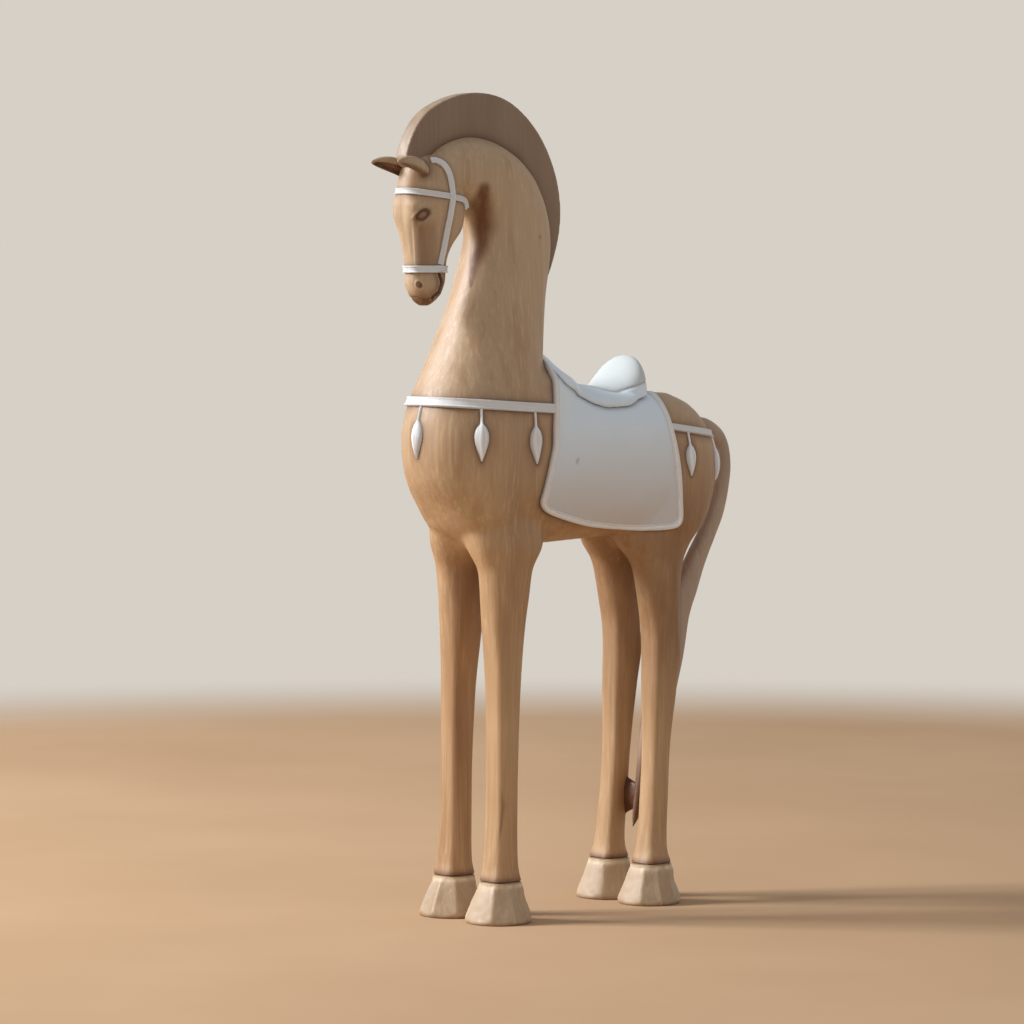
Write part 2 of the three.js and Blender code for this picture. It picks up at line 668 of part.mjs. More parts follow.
function buildBridle() {
  const noseRing = headShell.intersect(noseStrap);
  const aboveNose = block(-200, 0, noseStrapTop + seatGap, 400);
  const maneRoom = sidePrism([[-130, 236], [-60, 236], [-60, 300], [-130, 300]], maneThickness / 2 + seatGap);
  const cheeks = headShell.intersect(cheekBand(bridleWidth)).intersect(aboveNose).subtract(maneRoom);
  const brow = headShell.intersect(browBand(-140, -60)).subtract(cheekBand(bridleWidth + 2 * seatGap));
  const ahead = block(-140, -93, 150, 300);
  const behind = block(-90, -76, 150, 300);
  const left = sideRoom(1);
  const right = sideRoom(-1);
  addPiece('nose_strap', noseRing, 'white', upper);
  addPiece('cheek_strap_left', cheeks.intersect(left), 'white', upper);
  addPiece('cheek_strap_right', cheeks.intersect(right), 'white', upper);
  addPiece('brow_strap', brow.intersect(ahead), 'white', upper);
  addPiece('throat_strap_left', brow.intersect(behind).intersect(left), 'white', upper);
  addPiece('throat_strap_right', brow.intersect(behind).intersect(right), 'white', upper);
}

// Assembly
const up = new THREE.Vector3(0, 0, 1);
const back = new THREE.Vector3(0, 1, 0);
const neckDowels = [-80, -42].map((y) => dowelAt(neckDowel, new THREE.Vector3(0, y, neckSeam), up));
const headPin = dowelAt(headDowel, new THREE.Vector3(0, headCut, 238), back);
const maneDowels = [
  dowelAt(maneDowel, new THREE.Vector3(0, -62, 260.5), up),
  dowelAt(maneDowel, new THREE.Vector3(0, -9, 213), back),
];
const tailPin = dowelAt(tailDowel, new THREE.Vector3(0, 121, 83), back);

const torsoHoles = [...neckDowels, tailPin, ...legs.map((leg) => leg.seam)].map((dowel) => dowel.hole);
addPiece('torso', buildTorso(torsoHoles), 'wood', upper);
const neckHoles = [...neckDowels, headPin, ...maneDowels].map((dowel) => dowel.hole);
addPiece('neck', buildNeck(neckHoles), 'wood', upper);
addPiece('head', buildHead([headPin.hole, earPegAt(1).hole, earPegAt(-1).hole]), 'wood', upper);
addPiece('ear_left', buildEar(1), 'wood', upper);
addPiece('ear_right', buildEar(-1), 'wood', upper);
addPiece('mane_board', buildMane(maneDowels.map((dowel) => dowel.hole)), 'maneWood', upper);
addPiece('tail', buildTail([tailPin.hole]), 'wood', upper);
addPiece('tail_web', buildTailWeb(), 'wood', upper);
addPiece('saddle_cloth', buildCloth(), 'cloth', upper);
addPiece('cloth_border', buildClothBorder(), 'white', upper);
addPiece('saddle_flap', buildFlap(), 'cloth', upper);
addPiece('saddle_seat', buildSeat(), 'white', upper);
addPiece('breast_strap', buildBreastStrap(), 'white', upper);
addPiece('crupper_strap_left', buildCrupperStrap(1), 'white', upper);
addPiece('crupper_strap_right', buildCrupperStrap(-1), 'white', upper);
buildTassels();
buildBridle();

for (const leg of legs) {
  const shank = legSkin(leg, 0).intersect(block(-200, 200, -400, -seatGap));
  const drop = new THREE.Vector3(0, 0, -seamHeight);
  const hole = footDowel(leg).hole.translate([drop.x, drop.y, drop.z]);
  addPiece(`${leg.name}_leg`, shank.subtract(leg.seam.hole).subtract(hole), 'wood', upper);
  addPiece(`${leg.name}_hoof`, buildHoof(leg), 'hoofWood', horse);
  addPiece(`${leg.name}_leg_dowel`, leg.seam.pin, 'pegWood', upper);
  addPiece(`${leg.name}_hoof_dowel`, footDowel(leg).pin, 'pegWood', horse);
}
neckDowels.forEach((dowel, i) => addPiece(`neck_dowel_${i + 1}`, dowel.pin, 'pegWood', upper));
maneDowels.forEach((dowel, i) => addPiece(`mane_dowel_${i + 1}`, dowel.pin, 'pegWood', upper));
addPiece('head_dowel', headPin.pin, 'pegWood', upper);
addPiece('tail_dowel', tailPin.pin, 'pegWood', upper);

// The horse stands with the middle of its length on the origin
const bounds = new THREE.Box3().setFromObject(horse);
horse.position.y = -(bounds.min.y + bounds.max.y) / 2;

export default horse;
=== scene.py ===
# A carved wooden horse in saddle and bridle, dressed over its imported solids.
# Shapes are worked out in millimetres, with heights over the seam between legs and torso, and placed in metres.
import math

import bmesh
import bpy
import numpy as np
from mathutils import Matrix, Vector
from mathutils import noise as perlin
from mathutils.bvhtree import BVHTree


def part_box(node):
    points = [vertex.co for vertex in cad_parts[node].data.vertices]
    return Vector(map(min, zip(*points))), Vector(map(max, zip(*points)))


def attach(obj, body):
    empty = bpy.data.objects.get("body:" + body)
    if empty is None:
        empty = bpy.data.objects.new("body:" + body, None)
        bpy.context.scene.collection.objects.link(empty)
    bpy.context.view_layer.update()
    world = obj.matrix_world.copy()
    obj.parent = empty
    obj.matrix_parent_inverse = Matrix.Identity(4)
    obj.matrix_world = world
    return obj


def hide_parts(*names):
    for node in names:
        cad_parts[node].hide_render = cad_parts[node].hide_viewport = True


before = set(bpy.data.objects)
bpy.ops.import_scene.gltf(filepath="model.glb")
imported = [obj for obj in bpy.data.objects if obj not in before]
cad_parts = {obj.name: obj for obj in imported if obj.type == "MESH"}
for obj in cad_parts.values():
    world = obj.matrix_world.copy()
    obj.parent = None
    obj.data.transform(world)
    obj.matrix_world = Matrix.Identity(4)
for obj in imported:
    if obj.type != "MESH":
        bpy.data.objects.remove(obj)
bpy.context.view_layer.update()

MM = 0.001
HOOF_HEIGHT = 25.0
SEAT_GAP = 0.3
LEG_LENGTH = 186.0
SEAM_HEIGHT = HOOF_HEIGHT + SEAT_GAP + LEG_LENGTH
FRONT_LEG_AT = -56.5
dowel_low, dowel_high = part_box("front_left_leg_dowel")
SHIFT = (dowel_low[1] + dowel_high[1]) / 2 / MM - FRONT_LEG_AT

# Leg places, and the seams of the body
FRONT_LEG_ACROSS = 21.0
HIND_LEG_ACROSS = 18.0
HIND_LEG_AT = 75.0
CANNON_RADIUS = 9.4
NECK_SEAM = 98.0
WITHERS_CUT = -13.0
WITHERS_TOP = 131.0
HEAD_CUT = -80.0
NAPE_HEIGHT = 190.0
BREAST = {"height": 96.9, "at": -28.0, "slope": 0.065, "width": 5.7}
CRUPPER = {"height": 83.5, "at": 71.0, "slope": 0.14, "width": 4.2}


# Numbers and shapes. A shape is a pair: an array of points and a list of faces.
def spline(before, start, end, after, t):
    t2 = t * t
    t3 = t2 * t
    slope_start = (end - before) / 2
    slope_end = (after - start) / 2
    bend = (t3 - 2 * t2 + t) * slope_start + (t3 - t2) * slope_end
    return (2 * t3 - 3 * t2 + 1) * start + (3 * t2 - 2 * t3) * end + bend


def between(rows, u):
    rows = np.asarray(rows, float)
    last = len(rows) - 1
    i = min(int(u), last - 1)
    return spline(rows[max(i - 1, 0)], rows[i], rows[i + 1], rows[min(i + 2, last)], u - i)


def smooth_line(rows, count):
    last = len(rows) - 1
    return np.array([between(rows, last * k / count) for k in range(count + 1)])


def smooth_step(low, high, value):
    t = np.clip((np.asarray(value, float) - low) / (high - low), 0, 1)
    return t * t * (3 - 2 * t)


def station(y, z, wide, deep, lean=0.0, square=2.2, x=0.0, taper=0.0):
    return (x, y, z, wide, deep, lean, square, taper)


def ring_of(values, sides):
    x, y, z, wide, deep, lean, square, taper = values
    turn = np.arange(sides) / sides * 2 * math.pi
    across = np.sign(np.cos(turn)) * np.abs(np.cos(turn)) ** (2 / square)
    along = np.sign(np.sin(turn)) * np.abs(np.sin(turn)) ** (2 / square)
    tilt = math.radians(lean)
    xs = x + across * wide * (1 + taper * along)
    return np.stack([xs, y + along * deep * math.cos(tilt), z + along * deep * math.sin(tilt)], axis=1)


def tube(rings):
    sides = len(rings[0])
    points = np.concatenate([*rings, [rings[0].mean(axis=0)], [rings[-1].mean(axis=0)]])
    faces = []
    for r in range(len(rings) - 1):
        for s in range(sides):
            a = r * sides + s
            b = r * sides + (s + 1) % sides
            faces.append((a, b, b + sides, a + sides))
    start_hub = len(rings) * sides
    end = start_hub - sides
    for s in range(sides):
        after = (s + 1) % sides
        faces.append((start_hub, after, s))
        faces.append((start_hub + 1, end + s, end + after))
    return points, faces


def loft(stations, sides, rings_per_step):
    count = round((len(stations) - 1) * rings_per_step)
    last = len(stations) - 1
    return tube([ring_of(between(stations, last * k / count), sides) for k in range(count + 1)])


def joined(shapes):
    points = []
    faces = []
    start = 0
    for shape_points, shape_faces in shapes:
        points.append(shape_points)
        faces.extend(tuple(i + start for i in face) for face in shape_faces)
        start += len(shape_points)
    return np.concatenate(points), faces


def mirrored(shape):
    points, faces = shape
    return points * [-1, 1, 1], [tuple(reversed(face)) for face in faces]


def mesh_of(shape):
    mesh = bpy.data.meshes.new("work")
    mesh.from_pydata(shape[0].tolist(), [], [list(face) for face in shape[1]])
    return mesh


def shape_of(mesh):
    points = np.empty(len(mesh.vertices) * 3)
    mesh.vertices.foreach_get("co", points)
    return points.reshape(-1, 3), [tuple(face.vertices) for face in mesh.polygons]


def by_size(faces):
    groups = {}
    for face in faces:
        groups.setdefault(len(face), []).append(face)
    return [np.array(group) for group in groups.values()]


def edges_of(faces):
    starts, ends = [], []
    for chosen in by_size(faces):
        starts.append(chosen.ravel())
        ends.append(np.roll(chosen, -1, axis=1).ravel())
    return np.concatenate(starts), np.concatenate(ends)


# The way from each point to the middle of its neighbours
def lean_of(points, edges):
    start, end = edges
    count = np.maximum(np.bincount(start, minlength=len(points)), 1)
    step = points[end] - points[start]
    total = [np.bincount(start, step[:, k], len(points)) for k in range(3)]
    return np.stack(total, axis=1) / count[:, None]


# Draws each point towards its neighbours, by a share that can differ from point to point
def relaxed(shape, rounds, share=0.5):
    points, faces = shape
    edges = edges_of(faces)
    for _ in range(rounds):
        points = points + lean_of(points, edges) * np.reshape(share, (-1, 1))
    return points, faces


# One closed skin round overlapping closed shapes
def merged(shapes, voxel, rounds):
    work = bpy.data.objects.new("work", mesh_of(joined(shapes)))
    bpy.context.scene.collection.objects.link(work)
    remesh = work.modifiers.new("remesh", "REMESH")
    remesh.mode = "VOXEL"
    remesh.voxel_size = voxel
    graph = bpy.context.evaluated_depsgraph_get()
    result = shape_of(work.evaluated_get(graph).to_mesh())
    bpy.data.objects.remove(work)
    return relaxed(result, rounds)


def normals_of(shape):
    points, faces = shape
    normals = np.zeros_like(points)
    for chosen in by_size(faces):
        corners = points[chosen]
        facing = np.cross(corners, np.roll(corners, -1, axis=1)).sum(axis=1)
        for column in chosen.T:
            for k in range(3):
                normals[:, k] += np.bincount(column, facing[:, k], len(points))
    return normals / (np.linalg.norm(normals, axis=1)[:, None] + 1e-12)


def tree_of(shape):
    return BVHTree.FromPolygons(shape[0].tolist(), [list(face) for face in shape[1]])


# How hollow the skin is at each point: above 0 in a crease, below 0 on an edge
def hollow_of(shape):
    points, faces = shape
    return np.einsum("ij,ij->i", lean_of(points, edges_of(faces)), normals_of(shape))


def hump(value, width):
    return np.exp(-(value / width) ** 2)


# How far places in a plane lie from a line drawn through points in it
def distance_to(line, across, along):
    place = np.stack([across, along], axis=1)
    best = np.full(len(place), np.inf)
    for start, end in zip(line[:-1], line[1:]):
        run = end - start
        share = np.clip((place - start) @ run / (run @ run), 0, 1)
        best = np.minimum(best, np.linalg.norm(place - start - share[:, None] * run, axis=1))
    return best


def rough(points, scale, seed):
    at = points / scale + seed
    return np.array([perlin.noise(Vector(p)) for p in at])


# Pieces in the scene
def add_piece(name, shape, material, node, marks=None, sharp=None):
    points, faces = shape
    world = (points + [0, SHIFT, SEAM_HEIGHT]) * MM
    mesh = bpy.data.meshes.new(name)
    mesh.from_pydata(world.tolist(), [], [list(face) for face in faces])
    if marks is None:
        marks = np.zeros((len(points), 3))
    layer = mesh.attributes.new("marks", "FLOAT_COLOR", "POINT")
    colour = np.concatenate([np.clip(marks, 0, 1), np.ones((len(points), 1))], axis=1)
    layer.data.foreach_set("color", colour.ravel())
    mesh.materials.append(material)
    piece = bpy.data.objects.new(name, mesh)
    bpy.context.scene.collection.objects.link(piece)
    mesh.shade_smooth()
    if sharp is not None:
        mesh.set_sharp_from_angle(angle=math.radians(sharp))
    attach(piece, "root")
    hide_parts(node)
    return piece


# Skins of the body
TRUNK = [
    station(-59, 12, 11, 9),
    station(-60, 17, 19, 14),
    station(-62.5, 25, 29, 21.5),
    station(-65, 37, 33, 27),
    station(-66.5, 52, 35, 35),
    station(-66.5, 67, 36.2, 39.2),
    station(-64.8, 83, 37, 41),
    station(-61, 98, 35.5, 41.8),
    station(-56.5, 113, 32.5, 39.6),
    station(-52, 128, 29.4, 36.8),
    station(-43, 161, 24.4, 31.4),
    station(-34.8, 196, 21.8, 28.6),
    station(-38.5, 216, 20.4, 27.6, 24),
    station(-49, 230.4, 19, 25, 48),
    station(-68, 238.5, 17.4, 21.8, 80),
    station(-85.5, 236.6, 15.6, 18.8, 104),
    station(-98, 229.5, 13.5, 16, 120),
]
NECK_FROM = 9
NAPE_FROM = 12
BARREL = [
    station(-58, 58, 34, 40, -90, 2.4),
    station(-36, 59, 36.5, 44, -90, 2.4),
    station(-22, 61.5, 37, 47.5, -90, 2.3),
    station(-6, 61.9, 37.5, 47.6, -90, 2.3),
    station(14, 61, 38, 45.9, -90, 2.4),
    station(36, 60, 38, 44, -90, 2.5),
    station(58, 60.5, 38, 43.5, -90, 2.4),
    station(82, 62, 36, 43, -90, 2.3),
]
# The shoulder that joins the back of the neck to the barrel
WITHERS = [
    station(-36, 56, 32.5, 34),
    station(-36, 70, 34.4, 36),
    station(-35, 82, 35.2, 36),
    station(-33, 93, 34.8, 36),
    station(-30, 102, 33, 36),
    station(-25, 109.5, 30, 33),
    station(-28, 114, 28, 29),
    station(-29.5, 119, 23, 23.5),
    station(-28, 124, 16, 18.5),
    station(-26, 129, 8, 12),
]
RUMP = [
    station(77, 8, 31, 22),
    station(80, 21, 35.5, 32),
    station(82, 34, 37.2, 38),
    station(83, 53, 38.5, 42),
    station(83, 71, 37.5, 40.5),
    station(81, 86, 33, 35.5),
    station(78.5, 97, 25, 28),
    station(77, 104, 12, 16),
]
# Height as a share of the leg, or above 1 in millimetres over the seam; shift back, shift outward, and what
# the half width and half depth gain over the cannon
FRONT_LEG = [
    [-0.03, -2.3, 0.5, 3.4, 3.9],
    [0, -2.2, 0.4, 2.6, 3.0],
    [0.05, -1.9, 0.3, 0.8, 1.1],
    [0.16, -1.2, 0, 0, 0.2],
    [0.36, -0.5, -0.2, -0.1, 0.1],
    [0.52, 0.2, -0.4, 0.2, 0.8],
    [0.66, 1, -0.8, 0.8, 2],
    [0.8, 1.7, -1.6, 1.8, 4],
    [0.92, 2.8, -1.6, 2.7, 6.6],
    [1, 3.5, -1.6, 3.8, 8.8],
    [5, 4.1, -2.6, 4.9, 11.4],
    [16, 5.5, -4.4, 7.6, 17.6],
    [30, 4.5, -7.5, 7, 18.5],
]
HIND_LEG = [
    [-0.03, -7.7, 1.4, 3.2, 3.6],
    [0, -7.5, 1.3, 2.4, 2.6],
    [0.066, -6.9, 1, -0.2, -0.4],
    [0.26, -3.9, 0.3, -0.9, -0.8],
    [0.4, -2.1, -0.1, -0.8, -0.5],
    [0.58, 0.2, 0, 0.8, 2],
    [0.69, 2, -0.3, 1.4, 3.4],
    [0.79, 0.8, -0.3, 1.6, 2.8],
    [0.9, -0.8, 0, 2.6, 4.8],
    [1, -1.8, -0.4, 4, 9.1],
    [13, -3, -2.2, 7.6, 18.4],
    [30, 1, -3, 9, 24],
]
LEGS = [
    {"name": "front_left", "side": 1, "hind": False},
    {"name": "front_right", "side": -1, "hind": False},
    {"name": "rear_left", "side": 1, "hind": True},
    {"name": "rear_right", "side": -1, "hind": True},
]


# Below the knee a leg is carved nearly square, with its corners at the camera's side and across from it
LEG_SQUARE = 3.6
THIGH_SQUARE = 2.2
SQUARE_SLIMS = 0.085


def leg_stations(leg):
    across = HIND_LEG_ACROSS if leg["hind"] else FRONT_LEG_ACROSS
    at = HIND_LEG_AT if leg["hind"] else FRONT_LEG_AT
    rows = []
    for height, shift, outward, widen, deepen in HIND_LEG if leg["hind"] else FRONT_LEG:
        z = (height - 1) * LEG_LENGTH if height <= 1 else height
        x = leg["side"] * (across + outward)
        square = LEG_SQUARE + (THIGH_SQUARE - LEG_SQUARE) * float(smooth_step(0.66, 1.0, height))
        slim = 1 - SQUARE_SLIMS * (square - THIGH_SQUARE)
        wide = (CANNON_RADIUS + widen) * slim
        deep = (CANNON_RADIUS + deepen) * slim
        rows.append(station(at + shift, z, wide, deep, square=square, x=x))
    return rows


def trunk_parts():
    return [loft(rows, 72, 6) for rows in (TRUNK, BARREL, WITHERS, RUMP)]


def body_skin():
    parts = trunk_parts()
    parts += [loft(leg_stations(leg), 56, 6) for leg in LEGS]
    skin = merged(parts, 1.1, 0)
    share = 0.08 + 0.42 * smooth_step(-48, -18, skin[0][:, 2])
    skin = relaxed(skin, 18, share)
    points, faces = relaxed(skin, 26, 0.5 * hump(skin[0][:, 2] - 6, 16))
    carved = rough(points * [1, 1, 0.35], 11.0, 3.0) * 0.25 + rough(points * [1, 1, 0.12], 3.2, 8.0) * 0.12
    return points + normals_of((points, faces)) * carved[:, None], faces


# The back and flanks without the neck, which the cloth and saddle are laid on
def back_skin():
    parts = [loft(rows, 72, 6) for rows in (TRUNK[:NECK_FROM], BARREL, WITHERS, RUMP)]
    return merged(parts, 1.5, 14)


def head_station(height, front, back, wide, taper=0.14, square=2.6):
    return station((front + back) / 2, height, wide, (back - front) / 2, 0, square, 0, taper)


HEAD = [
    head_station(159, -103, -98.6, 2.4),
    head_station(161, -106, -95.6, 5.1),
    head_station(165, -109.6, -91.8, 7.6),
    head_station(172, -112.2, -88.4, 9.5, 0.14, 2.5),
    head_station(179, -112.3, -88, 8.8, 0.2, 3.0),
    head_station(187, -113, -87.6, 8.8, 0.28, 3.4),
    head_station(195, -114.2, -84.2, 9.9, 0.28, 3.5),
    head_station(203, -115.6, -78, 11.4, 0.26, 3.4),
    head_station(212, -116.8, -73.4, 13.2, 0.2, 3.1),
    head_station(221, -117.6, -72.2, 14.2, 0.15, 2.8),
    head_station(230, -117.2, -74, 14),
    head_station(239, -115, -79, 12.6),
    head_station(245.5, -110.5, -84, 9.4),
    head_station(248.5, -106, -88, 5),
]


def head_skin():
    skin = merged([loft(HEAD, 72, 7), loft(TRUNK[NAPE_FROM:], 64, 8)], 0.5, 5)
    push = face_push(face_places(skin[0]))
    return skin[0] + normals_of(skin) * push[:, None], skin[1]


# Marks cut in the face, each on both sides. The mouth's corner is drawn from the side, as [along, height].
EYE_AT = (12.2, -111.8, 212.6)
EYE_LONG = 3.5
EYE_TALL = 2.9
EYE_TILT = 0.34
BROW_AT = (9.0, -114.5, 213.5)
NOSTRIL_AT = (6.2, 171.3)
MOUTH_LINE = np.array([[-96.4, 178.0], [-94.8, 172.8], [-95.8, 167.2], [-99.4, 164.0]])
LIP_LINE = np.array([[-98.6, 164.0], [-104.0, 162.8], [-110.0, 164.0]])


def face_places(points):
    x = np.abs(points[:, 0])
    y = points[:, 1]
    z = points[:, 2]
    u = 0.66 * (x - EYE_AT[0]) + 0.75 * (y - EYE_AT[1])
    v = z - EYE_AT[2] - EYE_TILT * u
    lid = EYE_TALL * (1 - 0.12 * np.clip(u / EYE_LONG, -1, 1) ** 2)
    ridge_at = 6.3 + (z - 183) * 0.075
    return {
        "z": z,
        "eye": np.hypot(u / EYE_LONG, v / lid),
        "eye_over": v,
        "eye_front": np.hypot((u + EYE_LONG + 0.4) / 1.1, (v + 2.6) / 3.4),
        "brow": 0.7 * (x - BROW_AT[0]) + 0.7 * (y - BROW_AT[1]),
        "ridge": 0.7 * (x - ridge_at) + 0.7 * (y + 112.3 + (z - 185) * 0.12),
        "ridge_on": smooth_step(177, 187, z) * (1 - smooth_step(205, 213, z)),
        "nostril": np.where(y < -100, np.hypot((x - NOSTRIL_AT[0]) / 0.85, (z - NOSTRIL_AT[1]) / 1.45), 9.0),
        "mouth": np.where(x > 3, distance_to(MOUTH_LINE, y, z), 9.0),
        "lips": distance_to(LIP_LINE, y, z),
    }


def face_push(at):
    # the brow swells over the eyes, and a crisp ridge runs down from it between the nose and the cheek
    push = 2.5 * hump(at["z"] - BROW_AT[2], 8.5) * hump(at["brow"], 6.0)
    push += 0.8 * hump(at["z"] - 219.0, 2.4) * hump(at["brow"] - 1.5, 5.0)
    push += at["ridge_on"] * (0.8 * hump(at["ridge"], 1.0) - 1.0 * hump(at["ridge"] - 3.6, 2.4))
    # the eye: a ball between two lids
    push -= 0.9 * hump(at["eye"] - 1.0, 0.22) + 0.5 * hump(at["eye_front"], 1.0)
    push += 0.45 * hump(at["eye"], 0.55) + 0.5 * hump(at["eye"] - 1.5, 0.25) * (at["eye_over"] > 0)
    push += 0.5 * hump(at["nostril"] - 1.7, 0.5) - 1.9 * hump(at["nostril"], 0.9)
    push += 0.5 * hump(at["mouth"] - 2.0, 0.8) - 1.5 * hump(at["mouth"], 0.9)
    return push - 0.5 * hump(at["lips"], 0.6)


# Keeps the faces of a skin that lie on one side of planes given as (point, normal)
def trimmed(shape, planes):
    mesh = mesh_of(shape)
    work = bmesh.new()
    work.from_mesh(mesh)
    bpy.data.meshes.remove(mesh)
    for at, away in planes:
        geometry = work.verts[:] + work.edges[:] + work.faces[:]
        cut = bmesh.ops.bisect_plane(work, geom=geometry, plane_co=at, plane_no=away, clear_outer=True)
        rim = [e for e in cut["geom_cut"] if isinstance(e, bmesh.types.BMEdge)]
        bmesh.ops.holes_fill(work, edges=rim, sides=0)
    return shape_from(work)


def shape_from(work):
    work.verts.ensure_lookup_table()
    work.verts.index_update()
    points = np.array([v.co[:] for v in work.verts])
    faces = [tuple(v.index for v in face.verts) for face in work.faces]
    work.free()
    return points, faces


# The body skin cut into its pieces along their seams
def body_pieces(skin):
    mesh = mesh_of(skin)
    work = bmesh.new()
    work.from_mesh(mesh)
    bpy.data.meshes.remove(mesh)
    cuts = [((0, 0, 0), (0, 0, 1)), ((0, 0, NECK_SEAM), (0, 0, 1)), ((0, 0, WITHERS_TOP), (0, 0, 1)),
            ((0, WITHERS_CUT, 0), (0, 1, 0)), ((0, HEAD_CUT, 0), (0, 1, 0)), ((0, 0, NAPE_HEIGHT), (0, 0, 1))]
    for at, away in cuts:
        geometry = work.verts[:] + work.edges[:] + work.faces[:]
        bmesh.ops.bisect_plane(work, geom=geometry, plane_co=at, plane_no=away)
    geometry = work.verts[:] + work.edges[:] + work.faces[:]
    ankle = (0, 0, -LEG_LENGTH)
    bmesh.ops.bisect_plane(work, geom=geometry, plane_co=ankle, plane_no=(0, 0, -1), clear_outer=True)
    points, faces = shape_from(work)
    normals = normals_of((points, faces))
    middles = np.array([points[list(face)].mean(axis=0) for face in faces])
    x, y, z = middles.T
    neck = (z > NECK_SEAM) & ((y < WITHERS_CUT) | (z > WITHERS_TOP))
    regions = {"neck": neck & ~((y < HEAD_CUT) & (z > NAPE_HEIGHT)), "torso": (z > 0) & ~neck}
    for leg in LEGS:
        regions[leg["name"] + "_leg"] = (z < 0) & (x * leg["side"] > 0) & ((y > 10) == leg["hind"])
    pieces = {}
    for name, chosen in regions.items():
        kept = [faces[i] for i in np.flatnonzero(chosen)]
        used = np.unique(np.concatenate([np.array(face) for face in kept]))
        place = {int(old): new for new, old in enumerate(used)}
        part = (points[used], [tuple(place[i] for i in face) for face in kept])
        pieces[name] = (*closed(part), normals[used])
    return pieces


# Closes the open rims of a skin without moving its points
def closed(shape):
    mesh = mesh_of(shape)
    work = bmesh.new()
    work.from_mesh(mesh)
    bpy.data.meshes.remove(mesh)
    rim = [edge for edge in work.edges if edge.is_boundary]
    ends = {v for edge in rim for v in edge.verts}
    corners = [v for v in ends if abs(v.co.y - WITHERS_CUT) + abs(v.co.z - NECK_SEAM) < 0.001]
    if len(corners) == 2:
        # the neck's seam turns a corner, so it gets a flat cap on each side of it
        rim.append(work.edges.new(corners))
        bmesh.ops.edgenet_fill(work, edges=rim)
    else:
        bmesh.ops.holes_fill(work, edges=rim, sides=0)
    return shape_from(work)


# The chart of the back and flanks: a place along the horse, and a turn down from the top
CHART_Y = np.arange(-62.0, 98.0, 3.0)
CHART_TURN = np.arange(0.0, 151.0, 3.0)
CHART_AXIS = 62.0
SWELL_LIMIT = 3.0
SWELL_BELOW = 90.0


def chart_of(tree):
    chart = np.zeros((len(CHART_Y), len(CHART_TURN), 3))
    for i, y in enumerate(CHART_Y):
        for j, turn in enumerate(CHART_TURN):
            way = Vector((math.sin(math.radians(turn)), 0, math.cos(math.radians(turn))))
            hit = tree.ray_cast(Vector((0, y, CHART_AXIS)) + way * 90, -way)[0]
            chart[i, j] = hit[:]
    return chart


# The back's chart, raised a little and evenly where the legs swell out of it
def make_chart(back_tree, whole_tree):
    chart = chart_of(back_tree)
    axis = np.array([0, 0, CHART_AXIS])
    reach = np.linalg.norm((chart - axis)[:, :, [0, 2]], axis=2)
    whole = np.linalg.norm((chart_of(whole_tree) - axis)[:, :, [0, 2]], axis=2)
    swell = np.clip(whole - reach, 0, SWELL_LIMIT) * (CHART_TURN > SWELL_BELOW)
    raised = swell
    for _ in range(14):
        padded = np.pad(raised, 1, mode="edge")
        around = padded[:-2, 1:-1] + padded[2:, 1:-1] + padded[1:-1, :-2] + padded[1:-1, 2:]
        raised = np.maximum(swell, around / 4)
    grow = 1 + raised / reach
    return axis + (chart - axis) * np.stack([grow, np.ones_like(grow), grow], axis=2)


def chart_at(chart, y, turn):
    i = np.clip((y - CHART_Y[0]) / 3.0, 0, len(CHART_Y) - 1.001)
    j = np.clip(turn / 3.0, 0, len(CHART_TURN) - 1.001)
    a, b = int(i), int(j)
    s, t = i - a, j - b
    low = chart[a, b] * (1 - t) + chart[a, b + 1] * t
    high = chart[a + 1, b] * (1 - t) + chart[a + 1, b + 1] * t
    return low * (1 - s) + high * s


# A point of the back raised off the skin, with the way out of the skin; a turn below 0 is the right side
def back_point(chart, y, turn, lift=0.0):
    side = -1.0 if turn < 0 else 1.0
    size = abs(turn)
    here = chart_at(chart, y, size)
    step_y = chart_at(chart, y + 2.5, size) - chart_at(chart, y - 2.5, size)
    if size < 2.5:
        ahead = chart_at(chart, y, 2.5)
        step_turn = ahead - ahead * [-1, 1, 1]
        out = np.cross(step_y, step_turn)
        out[0] *= size / 2.5
    else:
        step_turn = chart_at(chart, y, size + 2.5) - chart_at(chart, y, size - 2.5)
        out = np.cross(step_y, step_turn)
    if out[2] * here[2] < 0 and size < 60:
        out = -out
    if size >= 60 and out[0] < 0:
        out = -out
    out = out / np.linalg.norm(out)
    flip = np.array([side, 1, 1])
    return (here + out * lift) * flip, out * flip


def turn_at(chart, y, z, lift):
    low, high = 0.0, 148.0
    for _ in range(18):
        middle = (low + high) / 2
        if back_point(chart, y, middle, lift)[0][2] > z:
            low = middle
        else:
            high = middle
    return (low + high) / 2


# Finds an outline drawn from the side, as [y, z], on the left of the back, and evens it out
def outline_on_back(chart, outline, lift, rounds=0):
    turns = np.array([turn_at(chart, y, z, lift) for y, z in outline])
    for _ in range(rounds):
        turns[1:-1] = (turns[:-2] + 2 * turns[1:-1] + turns[2:]) / 4
    return [(y, turn) for (y, _), turn in zip(outline, turns)]


